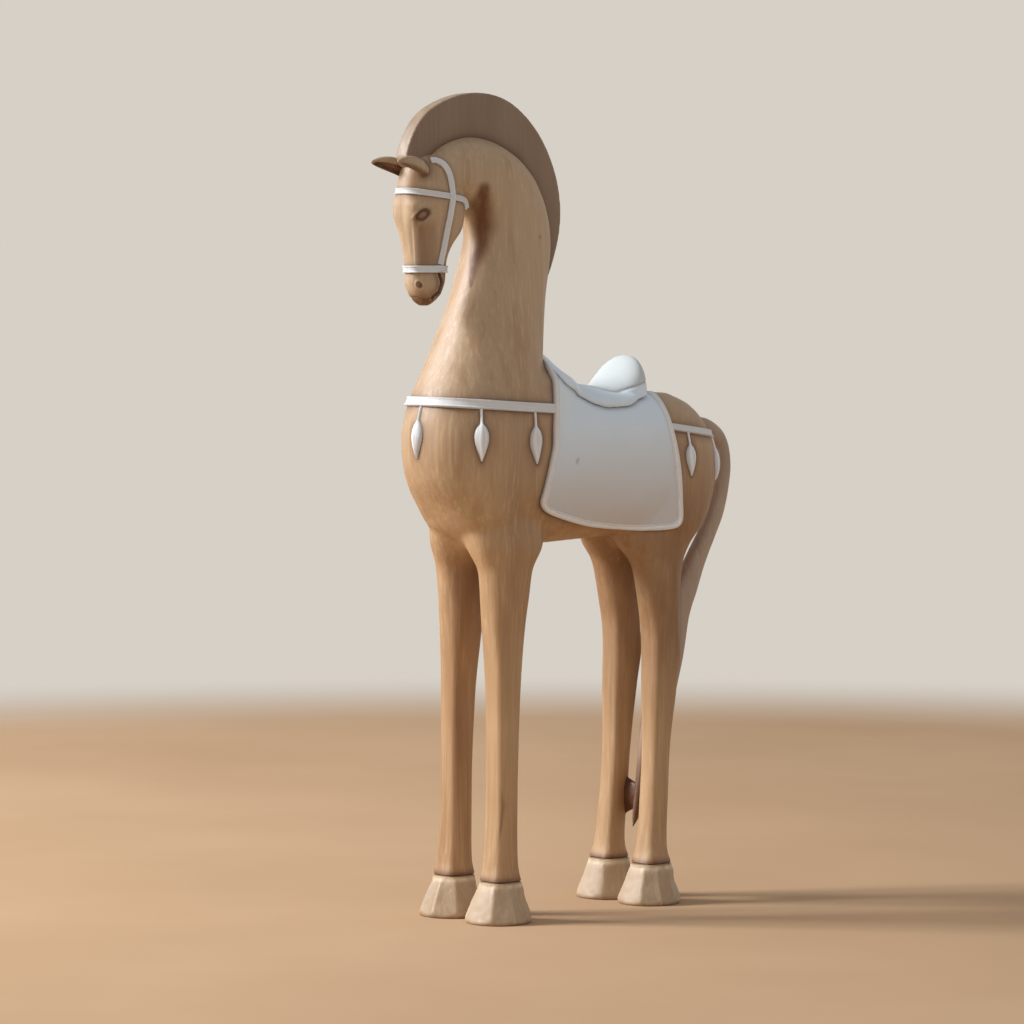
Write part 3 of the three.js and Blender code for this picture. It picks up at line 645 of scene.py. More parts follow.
def box_sheet(chart, front, hem, rear, lift, columns, rows):
    """Grid of (y, turn) over half the back: from the front edge to the rear edge, and from top line to hem."""
    def edge(points, share):
        turns = np.array([p[1] for p in points])
        ys = np.array([p[0] for p in points])
        want = share * turns.max()
        order = np.argsort(turns)
        return np.interp(want, turns[order], ys[order]), want
    grid = np.zeros((len(columns), len(rows), 2))
    hem_line = np.array(hem)
    steps = np.concatenate([[0], np.cumsum(np.linalg.norm(np.diff(hem_line, axis=0), axis=1))])
    steps /= steps[-1]
    for i, u in enumerate(columns):
        hem_point = np.array([np.interp(u, steps, hem_line[:, 0]), np.interp(u, steps, hem_line[:, 1])])
        for j, v in enumerate(rows):
            ahead = np.array(edge(front, v))
            behind = np.array(edge(rear, v))
            top = np.array([edge(front, 0)[0] * (1 - u) + edge(rear, 0)[0] * u, 0.0])
            corners = (1 - u) * (1 - v) * np.array(edge(front, 0)) + u * (1 - v) * np.array(edge(rear, 0))
            corners = corners + (1 - u) * v * np.array(edge(front, 1)) + u * v * np.array(edge(rear, 1))
            grid[i, j] = (1 - u) * ahead + u * behind + (1 - v) * top + v * hem_point - corners
    return grid


# A sheet over the back from a grid of its left half; height gives the lift at each grid place
def sheet_shape(chart, grid, base, height):
    columns, rows, _ = grid.shape
    full = np.concatenate([grid[:, ::-1] * [1, 1], grid[:, 1:] * [1, -1]], axis=1)
    tops = []
    for i in range(columns):
        for j in range(2 * rows - 1):
            y, turn = full[i, j]
            row = rows - 1 - j if j < rows else j - rows + 1
            tops.append(back_point(chart, y, turn, base + height[i, row])[0])
    bottoms = [back_point(chart, *full[i, j], base - 0.1)[0] for i in range(columns) for j in range(2 * rows - 1)]
    count = 2 * rows - 1
    points = np.array(tops + bottoms)
    faces = []
    under = columns * count
    for i in range(columns - 1):
        for j in range(count - 1):
            a = i * count + j
            faces.append((a, a + 1, a + count + 1, a + count))
            faces.append((under + a, under + a + count, under + a + count + 1, under + a + 1))
    rim = [j for j in range(count)] + [i * count + count - 1 for i in range(1, columns)]
    rim += [(columns - 1) * count + j for j in range(count - 2, -1, -1)]
    rim += [i * count for i in range(columns - 2, 0, -1)]
    for k, a in enumerate(rim):
        b = rim[(k + 1) % len(rim)]
        faces.append((a, under + a, under + b, b))
    return points, faces


# A strap swept along points of the skin. The profile is a list of (across, out).
def strap_shape(path, outs, profile, closed=False, taper=None):
    path = np.asarray(path)
    outs = np.asarray(outs)
    count = len(path)
    rings = []
    for k in range(count):
        ahead = path[(k + 1) % count] if closed else path[min(k + 1, count - 1)]
        behind = path[k - 1] if closed else path[max(k - 1, 0)]
        run = (ahead - behind) / np.linalg.norm(ahead - behind)
        out = outs[k] - run * np.dot(outs[k], run)
        out /= np.linalg.norm(out)
        across = np.cross(run, out)
        wide, tall = taper[k] if taper is not None else (1.0, 1.0)
        rings.append(np.array([path[k] + across * a * wide + out * o * tall for a, o in profile]))
    if not closed:
        return tube(rings)
    sides = len(profile)
    faces = []
    for r in range(count):
        for s in range(sides):
            a, b = r * sides + s, r * sides + (s + 1) % sides
            after = ((r + 1) % count) * sides
            faces.append((a, b, after + (s + 1) % sides, after + s))
    return np.concatenate(rings), faces


def lipped_profile(width, proud, lip):
    half = width / 2
    one_side = [(half, -0.5), (half, proud * 0.7), (half * 0.93, proud * 0.93), (half * 0.8, proud),
                (half * 0.66, proud - lip * 0.4), (half * 0.5, proud - lip), (half * 0.2, proud - lip)]
    return one_side + [(-a, o) for a, o in reversed(one_side)]


# How deep in the recess each point of a lipped strap lies
def recess_of(shape):
    across = np.array([0, 0, 0, 0, 0.5, 1, 1, 1, 1, 0.5, 0, 0, 0, 0])
    rings = (len(shape[0]) - 2) // len(across)
    return np.append(np.tile(across, rings), [0, 0])


def steadied(outs, rounds):
    outs = np.asarray(outs)
    for _ in range(rounds):
        padded = np.concatenate([outs[:1], outs, outs[-1:]])
        outs = (padded[:-2] + 2 * padded[1:-1] + padded[2:]) / 4
    return outs / np.linalg.norm(outs, axis=1)[:, None]


def strap_middle(strap, y):
    return strap["height"] - strap["slope"] * (y - strap["at"])


# Walks round the body at a strap's height, about an upright axis at axis_y, between two turns from straight ahead
def round_body(tree, strap, axis_y, turns, until=None):
    path, outs = [], []
    for turn in turns:
        way = Vector((math.sin(math.radians(turn)), -math.cos(math.radians(turn)), 0))
        z = strap["height"]
        for _ in range(3):
            hit, out, _, _ = tree.ray_cast(Vector((0, axis_y, z)) + way * 150, -way)
            z = strap_middle(strap, hit.y)
        if until is not None and until(hit):
            continue
        path.append(hit[:])
        outs.append(out[:])
    return np.array(path), steadied(outs, 6)


# Leaf tassels: drop below the strap, half width, and how proud the leaf stands
TASSEL = [(-1.0, 1.0, 1.3), (3, 0.95, 1.3), (7.4, 0.95, 1.4), (9, 1.5, 1.8), (10.6, 3.0, 2.4), (13.8, 4.4, 3.1),
          (17.6, 4.75, 3.4), (21.4, 4.0, 3.2), (25.4, 2.6, 2.6), (29, 1.1, 1.6), (30.8, 0.35, 0.7)]
TASSEL_PROFILE = [(1, -0.35), (0.93, 0.18), (0.72, 0.5), (0.4, 0.76), (0.12, 0.97), (0, 1.0),
                  (-0.12, 0.97), (-0.4, 0.76), (-0.72, 0.5), (-0.93, 0.18), (-1, -0.35)]


def tassel_shape(tree, strap, origin, way, scale):
    way = Vector(way).normalized()
    start = Vector(origin)
    start.z = strap["height"]
    hit = tree.ray_cast(start + way * 150, -way)[0]
    top = strap_middle(strap, hit.y) - strap["width"] / 2
    path, outs, taper = [], [], []
    for drop, wide, proud in smooth_line(TASSEL, 44):
        start.z = top - drop * scale
        hit, out, _, _ = tree.ray_cast(start + way * 150, -way)
        path.append(hit[:])
        outs.append(out[:])
        taper.append((max(wide, 0.2) * scale, max(proud, 0.3) * scale))
    return strap_shape(path, steadied(outs, 8), TASSEL_PROFILE, taper=taper)


CLOTH_FRONT = [[-14.5, 128.5], [-17, 124.5], [-20, 119.5], [-21.2, 114], [-23.6, 106], [-25.4, 98], [-26.6, 88],
               [-27.4, 76], [-31.8, 62], [-36.6, 43], [-36.8, 40]]
CLOTH_HEM = [[-34, 37], [-26, 34.4], [0, 27], [33, 23], [50, 22], [62, 22.2], [72.6, 23.8]]
CLOTH_REAR = [[74.2, 25.6], [74.2, 31], [73.4, 38], [71.2, 58], [67.8, 81], [68.5, 97], [71, 104]]
FLAP_FRONT = -20.0
FLAP_REAR = 64.0
FLAP_BOTTOM = [[-20, 123.5], [-17, 117.5], [-14, 112.6], [-10, 109.6], [-3, 107], [4, 104], [9, 101], [14, 99],
               [22.7, 97.4], [40, 98], [48, 100], [57, 103.2], [64, 107]]
# Where the skirt's grey paint meets the white seat, as [along, height]
SEAT_LINE = np.array([[-30, 170], [6, 130], [13.5, 115], [18, 110.9], [24, 108.4], [32, 106.1], [40, 105.4],
                      [50, 107.9], [60, 111], [72, 113]])
# The seat sweeps up to the back into one raised lobe
SEAT_LOBE = [
    station(30, 100, 12, 7.6, 90, 2.3),
    station(40, 100.5, 17, 9.6, 90, 2.3),
    station(47, 101, 20.4, 12.6, 90, 2.3),
    station(52, 101.5, 22.2, 16.8, 90, 2.35),
    station(56.5, 102, 23, 21.2, 90, 2.4),
    station(60.5, 102.5, 22.2, 24.2, 90, 2.4),
    station(63.5, 103, 18.8, 24.8, 90, 2.4),
    station(65.6, 103, 12, 22.4, 90, 2.3),
    station(66.6, 103, 6, 17, 90),
]
LOBE_FOOT = (0, 62, 103.0)
LOBE_FOOT_DOWN = (0, 0.25, -0.97)


def cloth_parts(chart):
    lift = 2.0
    front = outline_on_back(chart, smooth_line(CLOTH_FRONT, 40), lift)
    hem = outline_on_back(chart, smooth_line(CLOTH_HEM, 40), lift, 14)
    rear = outline_on_back(chart, smooth_line(CLOTH_REAR, 40), lift)
    columns = np.linspace(0, 1, 60)
    rows = np.linspace(0, 1, 50)
    grid = box_sheet(chart, front, [front[-1], *hem, rear[0]], rear, lift, columns, rows)
    wave = np.zeros(grid.shape[:2])
    wave += 1.5 + 0.25 * np.sin(grid[:, :, 1] * 0.09 + grid[:, :, 0] * 0.05)
    sheet = sheet_shape(chart, grid, 0.0, wave)
    # the border runs round all three free edges of both sides and over the back
    left = [*front, *hem, *rear]
    loop = [(y, turn) for y, turn in left] + [(y, -turn) for y, turn in reversed(left)]
    path, outs = [], []
    for y, turn in loop:
        point, out = back_point(chart, y, turn, 0.0)
        path.append(point)
        outs.append(out)
    return sheet, np.array(path), np.array(outs)


def even_loop(path, outs, step):
    closed = np.concatenate([path, path[:1]])
    closed_outs = np.concatenate([outs, outs[:1]])
    run = np.concatenate([[0], np.cumsum(np.linalg.norm(np.diff(closed, axis=0), axis=1))])
    wanted = np.linspace(0, run[-1], int(run[-1] / step), endpoint=False)
    even = np.stack([np.interp(wanted, run, closed[:, k]) for k in range(3)], axis=1)
    even_outs = np.stack([np.interp(wanted, run, closed_outs[:, k]) for k in range(3)], axis=1)
    for _ in range(4):
        even = (np.roll(even, 1, axis=0) + 2 * even + np.roll(even, -1, axis=0)) / 4
        even_outs = (np.roll(even_outs, 1, axis=0) + 2 * even_outs + np.roll(even_outs, -1, axis=0)) / 4
    return even, even_outs / np.linalg.norm(even_outs, axis=1)[:, None]


BORDER_PROFILE = [(1.95, -0.5), (1.95, 1.9), (1.7, 2.7), (1.1, 3.1), (0.5, 3.0), (0.1, 2.5), (-0.2, 1.75),
                  (-0.7, 1.7), (-1.0, 2.3), (-1.4, 2.6), (-1.75, 2.3), (-1.9, 1.7), (-1.9, -0.5)]


def saddle_grid(chart, bottom, lift, front_y, rear_y, columns, rows):
    line = smooth_line(bottom, 60)
    hem = outline_on_back(chart, line, lift)
    grid = np.zeros((columns, rows, 2))
    ys = np.array([p[0] for p in hem])
    turns = np.array([p[1] for p in hem])
    for i in range(columns):
        u = i / (columns - 1)
        y = front_y + (rear_y - front_y) * u
        reach = np.interp(y, ys, turns)
        for j in range(rows):
            grid[i, j] = (y, reach * j / (rows - 1))
    return grid


def edge_rounding(grid, chart, width, rows):
    columns = grid.shape[0]
    height = np.zeros((columns, rows))
    places = np.array([[back_point(chart, *grid[i, j])[0] for j in range(rows)] for i in range(columns)])
    for i in range(columns):
        for j in range(rows):
            to_hem = np.linalg.norm(places[i, j] - places[i, -1])
            to_front = np.linalg.norm(places[i, j] - places[0, min(j, rows - 1)])
            to_rear = np.linalg.norm(places[i, j] - places[-1, j])
            near = min(to_hem, to_front, to_rear)
            share = min(near / width, 1.0)
            height[i, j] = math.sqrt(1 - (1 - share) ** 2)
    return height


# How far points stand over the line between the skirt and the seat
def over_seat_line(points):
    line = smooth_line(SEAT_LINE, 60)
    return points[:, 2] - np.interp(points[:, 1], line[:, 0], line[:, 1])


# The part of a shape on one side of the seat line, closed along it
def cut_at_seat_line(shape, keep_above):
    points, faces = shape
    over = over_seat_line(points)
    level = np.stack([points[:, 0], points[:, 1], over], axis=1)
    points, faces = trimmed((level, faces), [((0, 0, 0), (0, 0, -1 if keep_above else 1))])
    base = over_seat_line(points * [1, 1, 0])
    return points - [[0, 0, 1]] * base[:, None], faces


def saddle_parts(chart):
    rows = 34
    grid = saddle_grid(chart, FLAP_BOTTOM, 3.4, FLAP_FRONT, FLAP_REAR, 74, rows)
    rounding = edge_rounding(grid, chart, 1.8, rows)
    # thin over the withers
    thin = 0.5 + 0.5 * smooth_step(-8, 16, grid[:, :, 0])
    skirt = sheet_shape(chart, grid, 1.7, 0.4 + 2.7 * rounding * thin)
    lobe = trimmed(loft(SEAT_LOBE, 64, 6), [(LOBE_FOOT, LOBE_FOOT_DOWN)])
    saddle = merged([skirt, lobe], 0.55, 2)
    points = saddle[0]
    share = 0.1 + 0.4 * smooth_step(101, 106, points[:, 2]) * smooth_step(14, 30, points[:, 1])
    points, faces = relaxed(saddle, 40, share)
    groove = 0.4 * hump(over_seat_line(points), 0.8)
    saddle = (points - normals_of((points, faces)) * groove[:, None], faces)
    return cut_at_seat_line(saddle, False), cut_at_seat_line(saddle, True)


# Painted shade in the groove between the grey skirt and the white seat
def seat_line_shade(points):
    crease = 0.45 * hump(over_seat_line(points), 0.7)
    return np.stack([crease, crease * 0, crease * 0], axis=1)


# Colours
def rgb(red, green, blue):
    channel = lambda v: ((v / 255 + 0.055) / 1.055) ** 2.4 if v > 10 else v / 255 / 12.92
    return (channel(red), channel(green), channel(blue), 1.0)


class Paint:
    """A material on the Principled shader, with short calls for the nodes that these finishes share."""

    def __init__(self, name):
        self.material = bpy.data.materials.new(name)
        self.material.use_nodes = True
        self.nodes = self.material.node_tree.nodes
        self.links = self.material.node_tree.links
        self.shader = self.nodes["Principled BSDF"]
        self.place = self.nodes.new("ShaderNodeTexCoord").outputs["Object"]

    def link(self, source, target):
        self.links.new(source, target)

    def noise(self, scale, stretch=(1, 1, 1), detail=4.0, roughness=0.55, distortion=0.0):
        mapping = self.nodes.new("ShaderNodeMapping")
        mapping.inputs["Scale"].default_value = stretch
        self.link(self.place, mapping.inputs["Vector"])
        texture = self.nodes.new("ShaderNodeTexNoise")
        texture.inputs["Scale"].default_value = scale
        texture.inputs["Detail"].default_value = detail
        texture.inputs["Roughness"].default_value = roughness
        texture.inputs["Distortion"].default_value = distortion
        self.link(mapping.outputs["Vector"], texture.inputs["Vector"])
        return texture.outputs["Fac"]

    def spread(self, value, low, high, to_low=0.0, to_high=1.0):
        node = self.nodes.new("ShaderNodeMapRange")
        node.interpolation_type = "SMOOTHSTEP"
        node.inputs["From Min"].default_value = low
        node.inputs["From Max"].default_value = high
        node.inputs["To Min"].default_value = to_low
        node.inputs["To Max"].default_value = to_high
        self.link(value, node.inputs["Value"])
        return node.outputs["Result"]

    def math(self, operation, first, second):
        node = self.nodes.new("ShaderNodeMath")
        node.operation = operation
        for socket, value in zip(node.inputs, (first, second)):
            if isinstance(value, (int, float)):
                socket.default_value = value
            else:
                self.link(value, socket)
        return node.outputs["Value"]

    def mix(self, factor, first, second):
        node = self.nodes.new("ShaderNodeMix")
        node.data_type = "RGBA"
        self.link(factor, node.inputs[0])
        for socket, value in ((node.inputs[6], first), (node.inputs[7], second)):
            if isinstance(value, tuple):
                socket.default_value = value
            else:
                self.link(value, socket)
        return node.outputs[2]

    def height(self):
        split = self.nodes.new("ShaderNodeSeparateXYZ")
        self.link(self.place, split.inputs["Vector"])
        return split.outputs["Z"]

    def marks(self):
        layer = self.nodes.new("ShaderNodeAttribute")
        layer.attribute_name = "marks"
        split = self.nodes.new("ShaderNodeSeparateColor")
        self.link(layer.outputs["Color"], split.inputs["Color"])
        return split.outputs["Red"], split.outputs["Green"], split.outputs["Blue"]

    def bump(self, height, strength, distance):
        node = self.nodes.new("ShaderNodeBump")
        node.inputs["Strength"].default_value = strength
        node.inputs["Distance"].default_value = distance
        self.link(height, node.inputs["Height"])
        self.link(node.outputs["Normal"], self.shader.inputs["Normal"])

    def finish(self, colour, rough_low, rough_high, rough_by):
        self.link(colour, self.shader.inputs["Base Color"])
        self.link(self.spread(rough_by, 0.3, 0.7, rough_low, rough_high), self.shader.inputs["Roughness"])
        return self.material


# Colours for the marks: real stains and cracks, painted shade, and a painted highlight
STAIN_AND_SHADE = rgb(106, 62, 28)
CRACK_AND_SHADE = rgb(64, 38, 20)
HIGHLIGHT_TONE = rgb(226, 204, 170)


def wood(name, light, mid, dark, top=None):
    """Brushed and stained wood. top is a greyer colour that it takes on towards the horse's back and neck, as painted
    cool light from above.
    """
    paint = Paint(name)
    broad = paint.noise(26, (1, 1, 0.3), 3.0)
    fine = paint.noise(520, (1, 1, 0.02), 4.0, 0.6)
    hairs = paint.noise(1500, (1, 1, 0.02), 3.0, 0.6)
    strokes = paint.noise(110, (1, 1, 0.09), 3.0, 0.5)
    colour = paint.mix(paint.spread(broad, 0.25, 0.75), dark, mid)
    # painted cool light from above: greyer towards the back and neck
    if top is not None:
        colour = paint.mix(paint.spread(paint.height(), 0.2, 0.36, 0.0, 0.75), colour, top)
    colour = paint.mix(paint.spread(strokes, 0.48, 0.72, 0.0, 0.5), colour, dark)
    colour = paint.mix(paint.spread(fine, 0.45, 0.75, 0.0, 0.4), colour, light)
    colour = paint.mix(paint.spread(hairs, 0.54, 0.75, 0.0, 0.4), colour, dark)
    # The marks darken with real stains, cracks and painted shade, and lighten with a painted highlight
    crease, stain_and_shade, highlight = paint.marks()
    blotch = paint.noise(170, (1, 1, 0.3), 4.0)
    darkened = paint.math("MULTIPLY", stain_and_shade, paint.spread(blotch, 0.3, 0.6, 0.75, 1.0))
    colour = paint.mix(darkened, colour, STAIN_AND_SHADE)
    colour = paint.mix(paint.math("MULTIPLY", crease, 0.9), colour, CRACK_AND_SHADE)
    colour = paint.mix(paint.math("MULTIPLY", highlight, paint.spread(blotch, 0.35, 0.65, 0.3, 0.9)), colour, HIGHLIGHT_TONE)
    height = paint.math("ADD", paint.math("MULTIPLY", fine, 0.7), paint.math("MULTIPLY", hairs, 0.3))
    paint.bump(height, 0.4, 0.0005)
    paint.shader.inputs["Coat Weight"].default_value = 0.12
    paint.shader.inputs["Coat Roughness"].default_value = 0.45
    return paint.finish(colour, 0.46, 0.64, fine)


# Dark lines on paint: painted shade in hollows, recesses and under edges, and specks
PAINT_SHADE_AND_SPECK = rgb(112, 104, 104)


def painted(name, base, low, warm, hem=None):
    """Worn paint over wood. hem is a darker colour that it takes on towards the belly, as painted shade where the cloth
    curves under.
    """
    paint = Paint(name)
    cloud = paint.noise(48, (1, 1, 1), 4.0)
    brush = paint.noise(420, (1, 1, 0.1), 4.0, 0.6)
    colour = paint.mix(paint.spread(cloud, 0.3, 0.8, 0.7, 1.0), low, base)
    # painted shade: darker towards the belly
    if hem is not None:
        colour = paint.mix(paint.spread(paint.height(), 0.31, 0.235), colour, hem)
    colour = paint.mix(paint.spread(brush, 0.5, 0.8, 0.0, 0.25), colour, low)
    crease, rub, highlight = paint.marks()
    chips = paint.noise(700, (1, 1, 1), 5.0, 0.65)
    rubbed = paint.math("MULTIPLY", rub, paint.spread(chips, 0.42, 0.62, 0.0, 0.8))
    colour = paint.mix(rubbed, colour, warm)
    colour = paint.mix(paint.math("MULTIPLY", crease, 0.85), colour, PAINT_SHADE_AND_SPECK)
    colour = paint.mix(paint.math("MULTIPLY", highlight, 0.8), colour, base)
    paint.bump(paint.math("ADD", paint.math("MULTIPLY", brush, 0.6), paint.math("MULTIPLY", chips, 0.25)), 0.25, 0.0005)
    return paint.finish(colour, 0.4, 0.55, cloud)


def near_marks(points, tree, reach):
    limit = reach * 4
    found = [tree.find_nearest(Vector(p), limit)[3] for p in points]
    distance = np.array([limit if d is None else d for d in found])
    return np.exp(-(distance / reach) ** 1.3)


# Marks round a line in space whose reach changes along it; each place is (across, along, height, reach)
def line_stain_and_shade(points, line):
    best = np.zeros(len(points))
    for start, end in zip(line[:-1], line[1:]):
        run = end[:3] - start[:3]
        share = np.clip((points - start[:3]) @ run / (run @ run), 0, 1)
        gap = np.linalg.norm(points - start[:3] - share[:, None] * run, axis=1)
        reach = start[3] + (end[3] - start[3]) * share
        best = np.maximum(best, smooth_step(1.25, 0.25, gap / reach))
    return best


def blob(points, centre, size):
    return np.exp(-(((points - centre) / size) ** 2).sum(axis=1))


# The dark patch behind the jaw, partly a dark wash that the wood has and partly painted shade in the hollow, which
# trails to a point down the throat
THROAT = np.array([[16.5, -67, 228, 5], [12.5, -66.5, 218, 9], [10.5, -64, 206, 10], [8, -65.5, 196, 8.5],
                   [6.2, -67.5, 186, 6], [6.6, -69, 177, 3.4], [7.4, -69.5, 169, 1]])
THROAT_BACK = 9.0
SPECK_AT = (20.8, -26.4, 199.8)
# A crack down one front leg and a streak down the other, as [across, along, height]
CRACK_LINE = np.array([[27.6, -64, -126], [28.4, -63.6, -140], [27.2, -66, -168]])
STREAK_LINE = np.array([[-12.6, -62.5, -20], [-13.4, -62.6, -82], [-13.8, -62.8, -150]])


def line_marks(points, line, width, fade):
    z = points[:, 2]
    near = hump(distance_to(line[:, [0, 2]], points[:, 0], z), width)
    low, high = line[:, 2].min(), line[:, 2].max()
    ends = smooth_step(low, low + fade, z) * smooth_step(high, high - fade, z)
    return near * ends * hump(points[:, 1] - line[:, 1].mean(), 7.0)


def body_marks(points, trim_tree, crest_tree):
    mirror = points.copy()
    mirror[:, 0] = np.abs(mirror[:, 0])
    z = points[:, 2]
    # painted shade: a dark line along the trims and a darker band under them
    near_trim = near_marks(points, trim_tree, 1.0)
    crease = near_trim * 0.75
    crease = np.maximum(crease, line_marks(points, CRACK_LINE, 0.5, 16) * 0.6)
    crease = np.maximum(crease, blob(points, SPECK_AT, (2, 0.9, 1.1)) * 0.7)
    stain_and_shade = near_marks(points, trim_tree, 4.0) * 0.5
    # the throat patch: a dark wash together with painted shade behind the jaw
    shifted = mirror - [[0, THROAT_BACK, 0]] * (points[:, :1] < 0)
    stain_and_shade = np.maximum(stain_and_shade, line_stain_and_shade(shifted, THROAT) * (1 - 0.45 * (points[:, 0] < 0)))
    # painted shade where the tail web meets the hind legs
    web_near = np.hypot(points[:, 1] - WEB_AT[0], (z - WEB_AT[1]) / 2.2)
    stain_and_shade = np.maximum(stain_and_shade, 0.8 * hump(web_near, 5.0) * smooth_step(16, 10, mirror[:, 0]))
    # painted shade on the haunch and thigh
    haunch = smooth_step(20, 60, points[:, 1]) * smooth_step(90, 15, z) * smooth_step(-130, -40, z)
    stain_and_shade = np.maximum(stain_and_shade, 0.5 * haunch)
    # painted shade between the legs
    crotch = smooth_step(16, -4, z) * smooth_step(-75, -15, z) * smooth_step(21, 6, mirror[:, 0])
    stain_and_shade = np.maximum(stain_and_shade, crotch * 0.55)
    stain_and_shade = np.maximum(stain_and_shade, line_marks(points, STREAK_LINE, 1.8, 60) * 0.4)
    stain_and_shade = np.maximum(stain_and_shade, hump(z + LEG_LENGTH, 2.4) * 0.9)
    # painted highlight along the crest's lip beside the mane board
    highlight = near_marks(points, crest_tree, 0.9) * 0.6 * (z > 120)
    return np.stack([crease, stain_and_shade, highlight], axis=1)


# Hooves, with heights over the floor
HOOF_FACETS = 8


def hoof_facet(points, x, at, seed):
    turn = np.arctan2(points[:, 1] - at, points[:, 0] - x)
    turn = turn + 0.16 * np.sin(2 * turn + seed)
    return (turn / (2 * math.pi) * HOOF_FACETS + seed) % 1.0 - 0.5


def hoof_shape(leg):
    x, at, _, wide, deep = leg_stations(leg)[1][:5]
    base = 18.8 if leg["hind"] else 19.4
    toe = at - 1.6
    low = -SEAM_HEIGHT
    rows = [
        station(toe, low, base - 1.2, base - 0.8, 0, 2.1, x),
        station(toe, low + 0.6, base - 0.2, base + 0.2, 0, 2.1, x),
        station(toe, low + 2.6, base, base + 0.4, 0, 2.1, x),
        station(toe + 0.2, low + 7, base - 1.4, base - 1.0, 0, 2.1, x),
        station(at - 1.2, low + 14, base - 4.1, base - 3.7, 0, 2.1, x),
        station(at - 0.4, low + 19.5, 13.4, 13.7, 0, 2.2, x),
        station(at, low + 22.4, 12.3, 12.6, 0, 2.3, x),
        station(at, low + 23.9, 11.9, 12.2, 0, 2.3, x),
        station(at, low + 24.8, 10.9, 11.1, 0, 2.3, x),
        station(at, low + 25.0, 9.4, 9.6, 0, 2.3, x),
    ]
    points, faces = loft(rows, 96, 6)
    seed = 5.0 + x * 0.37 + at * 0.11
    height = points[:, 2] - low
    wall = smooth_step(0, 4, height) * (1 - smooth_step(20, 24.5, height))
    # flat chisel cuts between upright edges
    cut = 1 / np.cos(hoof_facet(points, x, at, seed) * 2 * math.pi / HOOF_FACETS) * 0.967 - 1
    reach = points - np.array([x, at, 0])
    reach[:, 2] = 0
    points = points + reach * (cut * wall)[:, None]
    points = points + reach * (rough(points, 4.0, seed) * 0.011 * smooth_step(0.5, 3, height))[:, None]
    return points, faces


def hoof_marks(points, leg):
    x, at = leg_stations(leg)[1][:2]
    height = points[:, 2] + SEAM_HEIGHT
    # painted highlight on the facet edges and the top rim; darker next to the groove and towards the floor
    edge = hump(np.abs(hoof_facet(points, x, at, 5.0 + x * 0.37 + at * 0.11)) - 0.5, 0.05)
    crease = smooth_step(24.3, 24.9, height) * 0.3
    stain_and_shade = smooth_step(23.2, 24.6, height) * 0.8 + smooth_step(3, 0, height) * 0.35
    highlight = np.maximum(hump(height - 22.6, 1.5), edge * 0.4 * smooth_step(24, 18, height))
    return np.stack([crease, stain_and_shade, highlight], axis=1)


# Ears, hollowed on the side that faces in, down and ahead
EAR_BASE = np.array([9.6, -107.0, 240.0])
EAR_OPENING = np.array([-0.42, -0.35, -0.84])


def ear_shape(side):
    x, y, z = EAR_BASE
    rows = [
        station(y + 12, z - 9, 2.4, 3.0, 90, 2, x - 5),
        station(y + 6, z - 4.8, 3.2, 4.4, 90, 2, x - 3.4),
        station(y, z - 1.2, 3.8, 5.2, 90, 2, x - 1.9),
        station(y - 6, z + 1.1, 4.1, 5.3, 90, 2, x - 0.3),
        station(y - 12.5, z + 2.7, 3.7, 4.6, 90, 2, x + 0.9),
        station(y - 18.6, z + 3.5, 2.5, 3.1, 90, 2, x + 1.8),
        station(y - 22.6, z + 3.7, 1.2, 1.4, 90, 2, x + 2.3),
        station(y - 23.8, z + 3.7, 0.4, 0.5, 90, 2, x + 2.4),
    ]
    points, faces = loft(rows, 48, 9)
    normals = normals_of((points, faces))
    if np.mean(np.einsum("ij,ij->i", normals, points - points.mean(axis=0))) < 0:
        normals = -normals
    facing = smooth_step(0.4, 0.85, normals @ EAR_OPENING)
    along = smooth_step(y + 1, y - 5, points[:, 1]) * smooth_step(y - 24, y - 18, points[:, 1])
    inner = facing * along
    points = points - EAR_OPENING * (inner * 3.8)[:, None]
    # painted highlight round the hollow's rim, painted shade inside the hollow and on the underside, and darker towards
    # the tip
    rim = hump(facing - 0.12, 0.12) * along
    tip_tint = smooth_step(y - 2, y - 20, points[:, 1]) * 0.35
    under = smooth_step(0.05, -0.5, normals[:, 2]) * smooth_step(y - 24, y - 19, points[:, 1])
    dark = np.clip(inner * 1.1 + tip_tint + under, 0, 1)
    marks = np.stack([np.maximum(inner * 0.35, under * 0.3), dark, rim * 0.4], axis=1)
    shape = (points, faces)
    return (shape if side > 0 else mirrored(shape)), marks


# The crest board
MANE_RIM = [[-111, 238.5], [-118, 247.5], [-106.5, 269.5], [-86, 281.5], [-62, 286], [-38.5, 282], [-18.5, 268.5],
            [-4.5, 250], [3.6, 228], [4.4, 206], [-1, 186], [-9, 168]]
MANE_INSIDE = [[-24, 180], [-28, 214], [-58, 238], [-98, 236]]
MANE_HALF = 5.3


def mane_shape():
    rim = smooth_line(MANE_RIM, 90)
    outline = np.concatenate([rim, np.array(MANE_INSIDE, float)])
    count = len(outline)
    left = np.stack([np.full(count, MANE_HALF), outline[:, 0], outline[:, 1]], axis=1)
    points = np.concatenate([left, left * [-1, 1, 1]])
    faces = [tuple(range(count)), tuple(reversed(range(count, 2 * count)))]
    for k in range(count):
        after = (k + 1) % count
        faces.append((k, count + k, count + after, after))
    return merged([(points, faces)], 0.9, 3)


def mane_marks(points, neck_tree):
    # painted shade on the board next to the neck, with a dark line where they meet, and a painted highlight on the
    # board's rim
    near = near_marks(points, neck_tree, 5.0)
    rim = np.abs(np.abs(points[:, 0]) - MANE_HALF) > 0.5
    return np.stack([near_marks(points, neck_tree, 1.6) * 0.75, near * 0.5, rim * 0.15 * (1 - near)], axis=1)


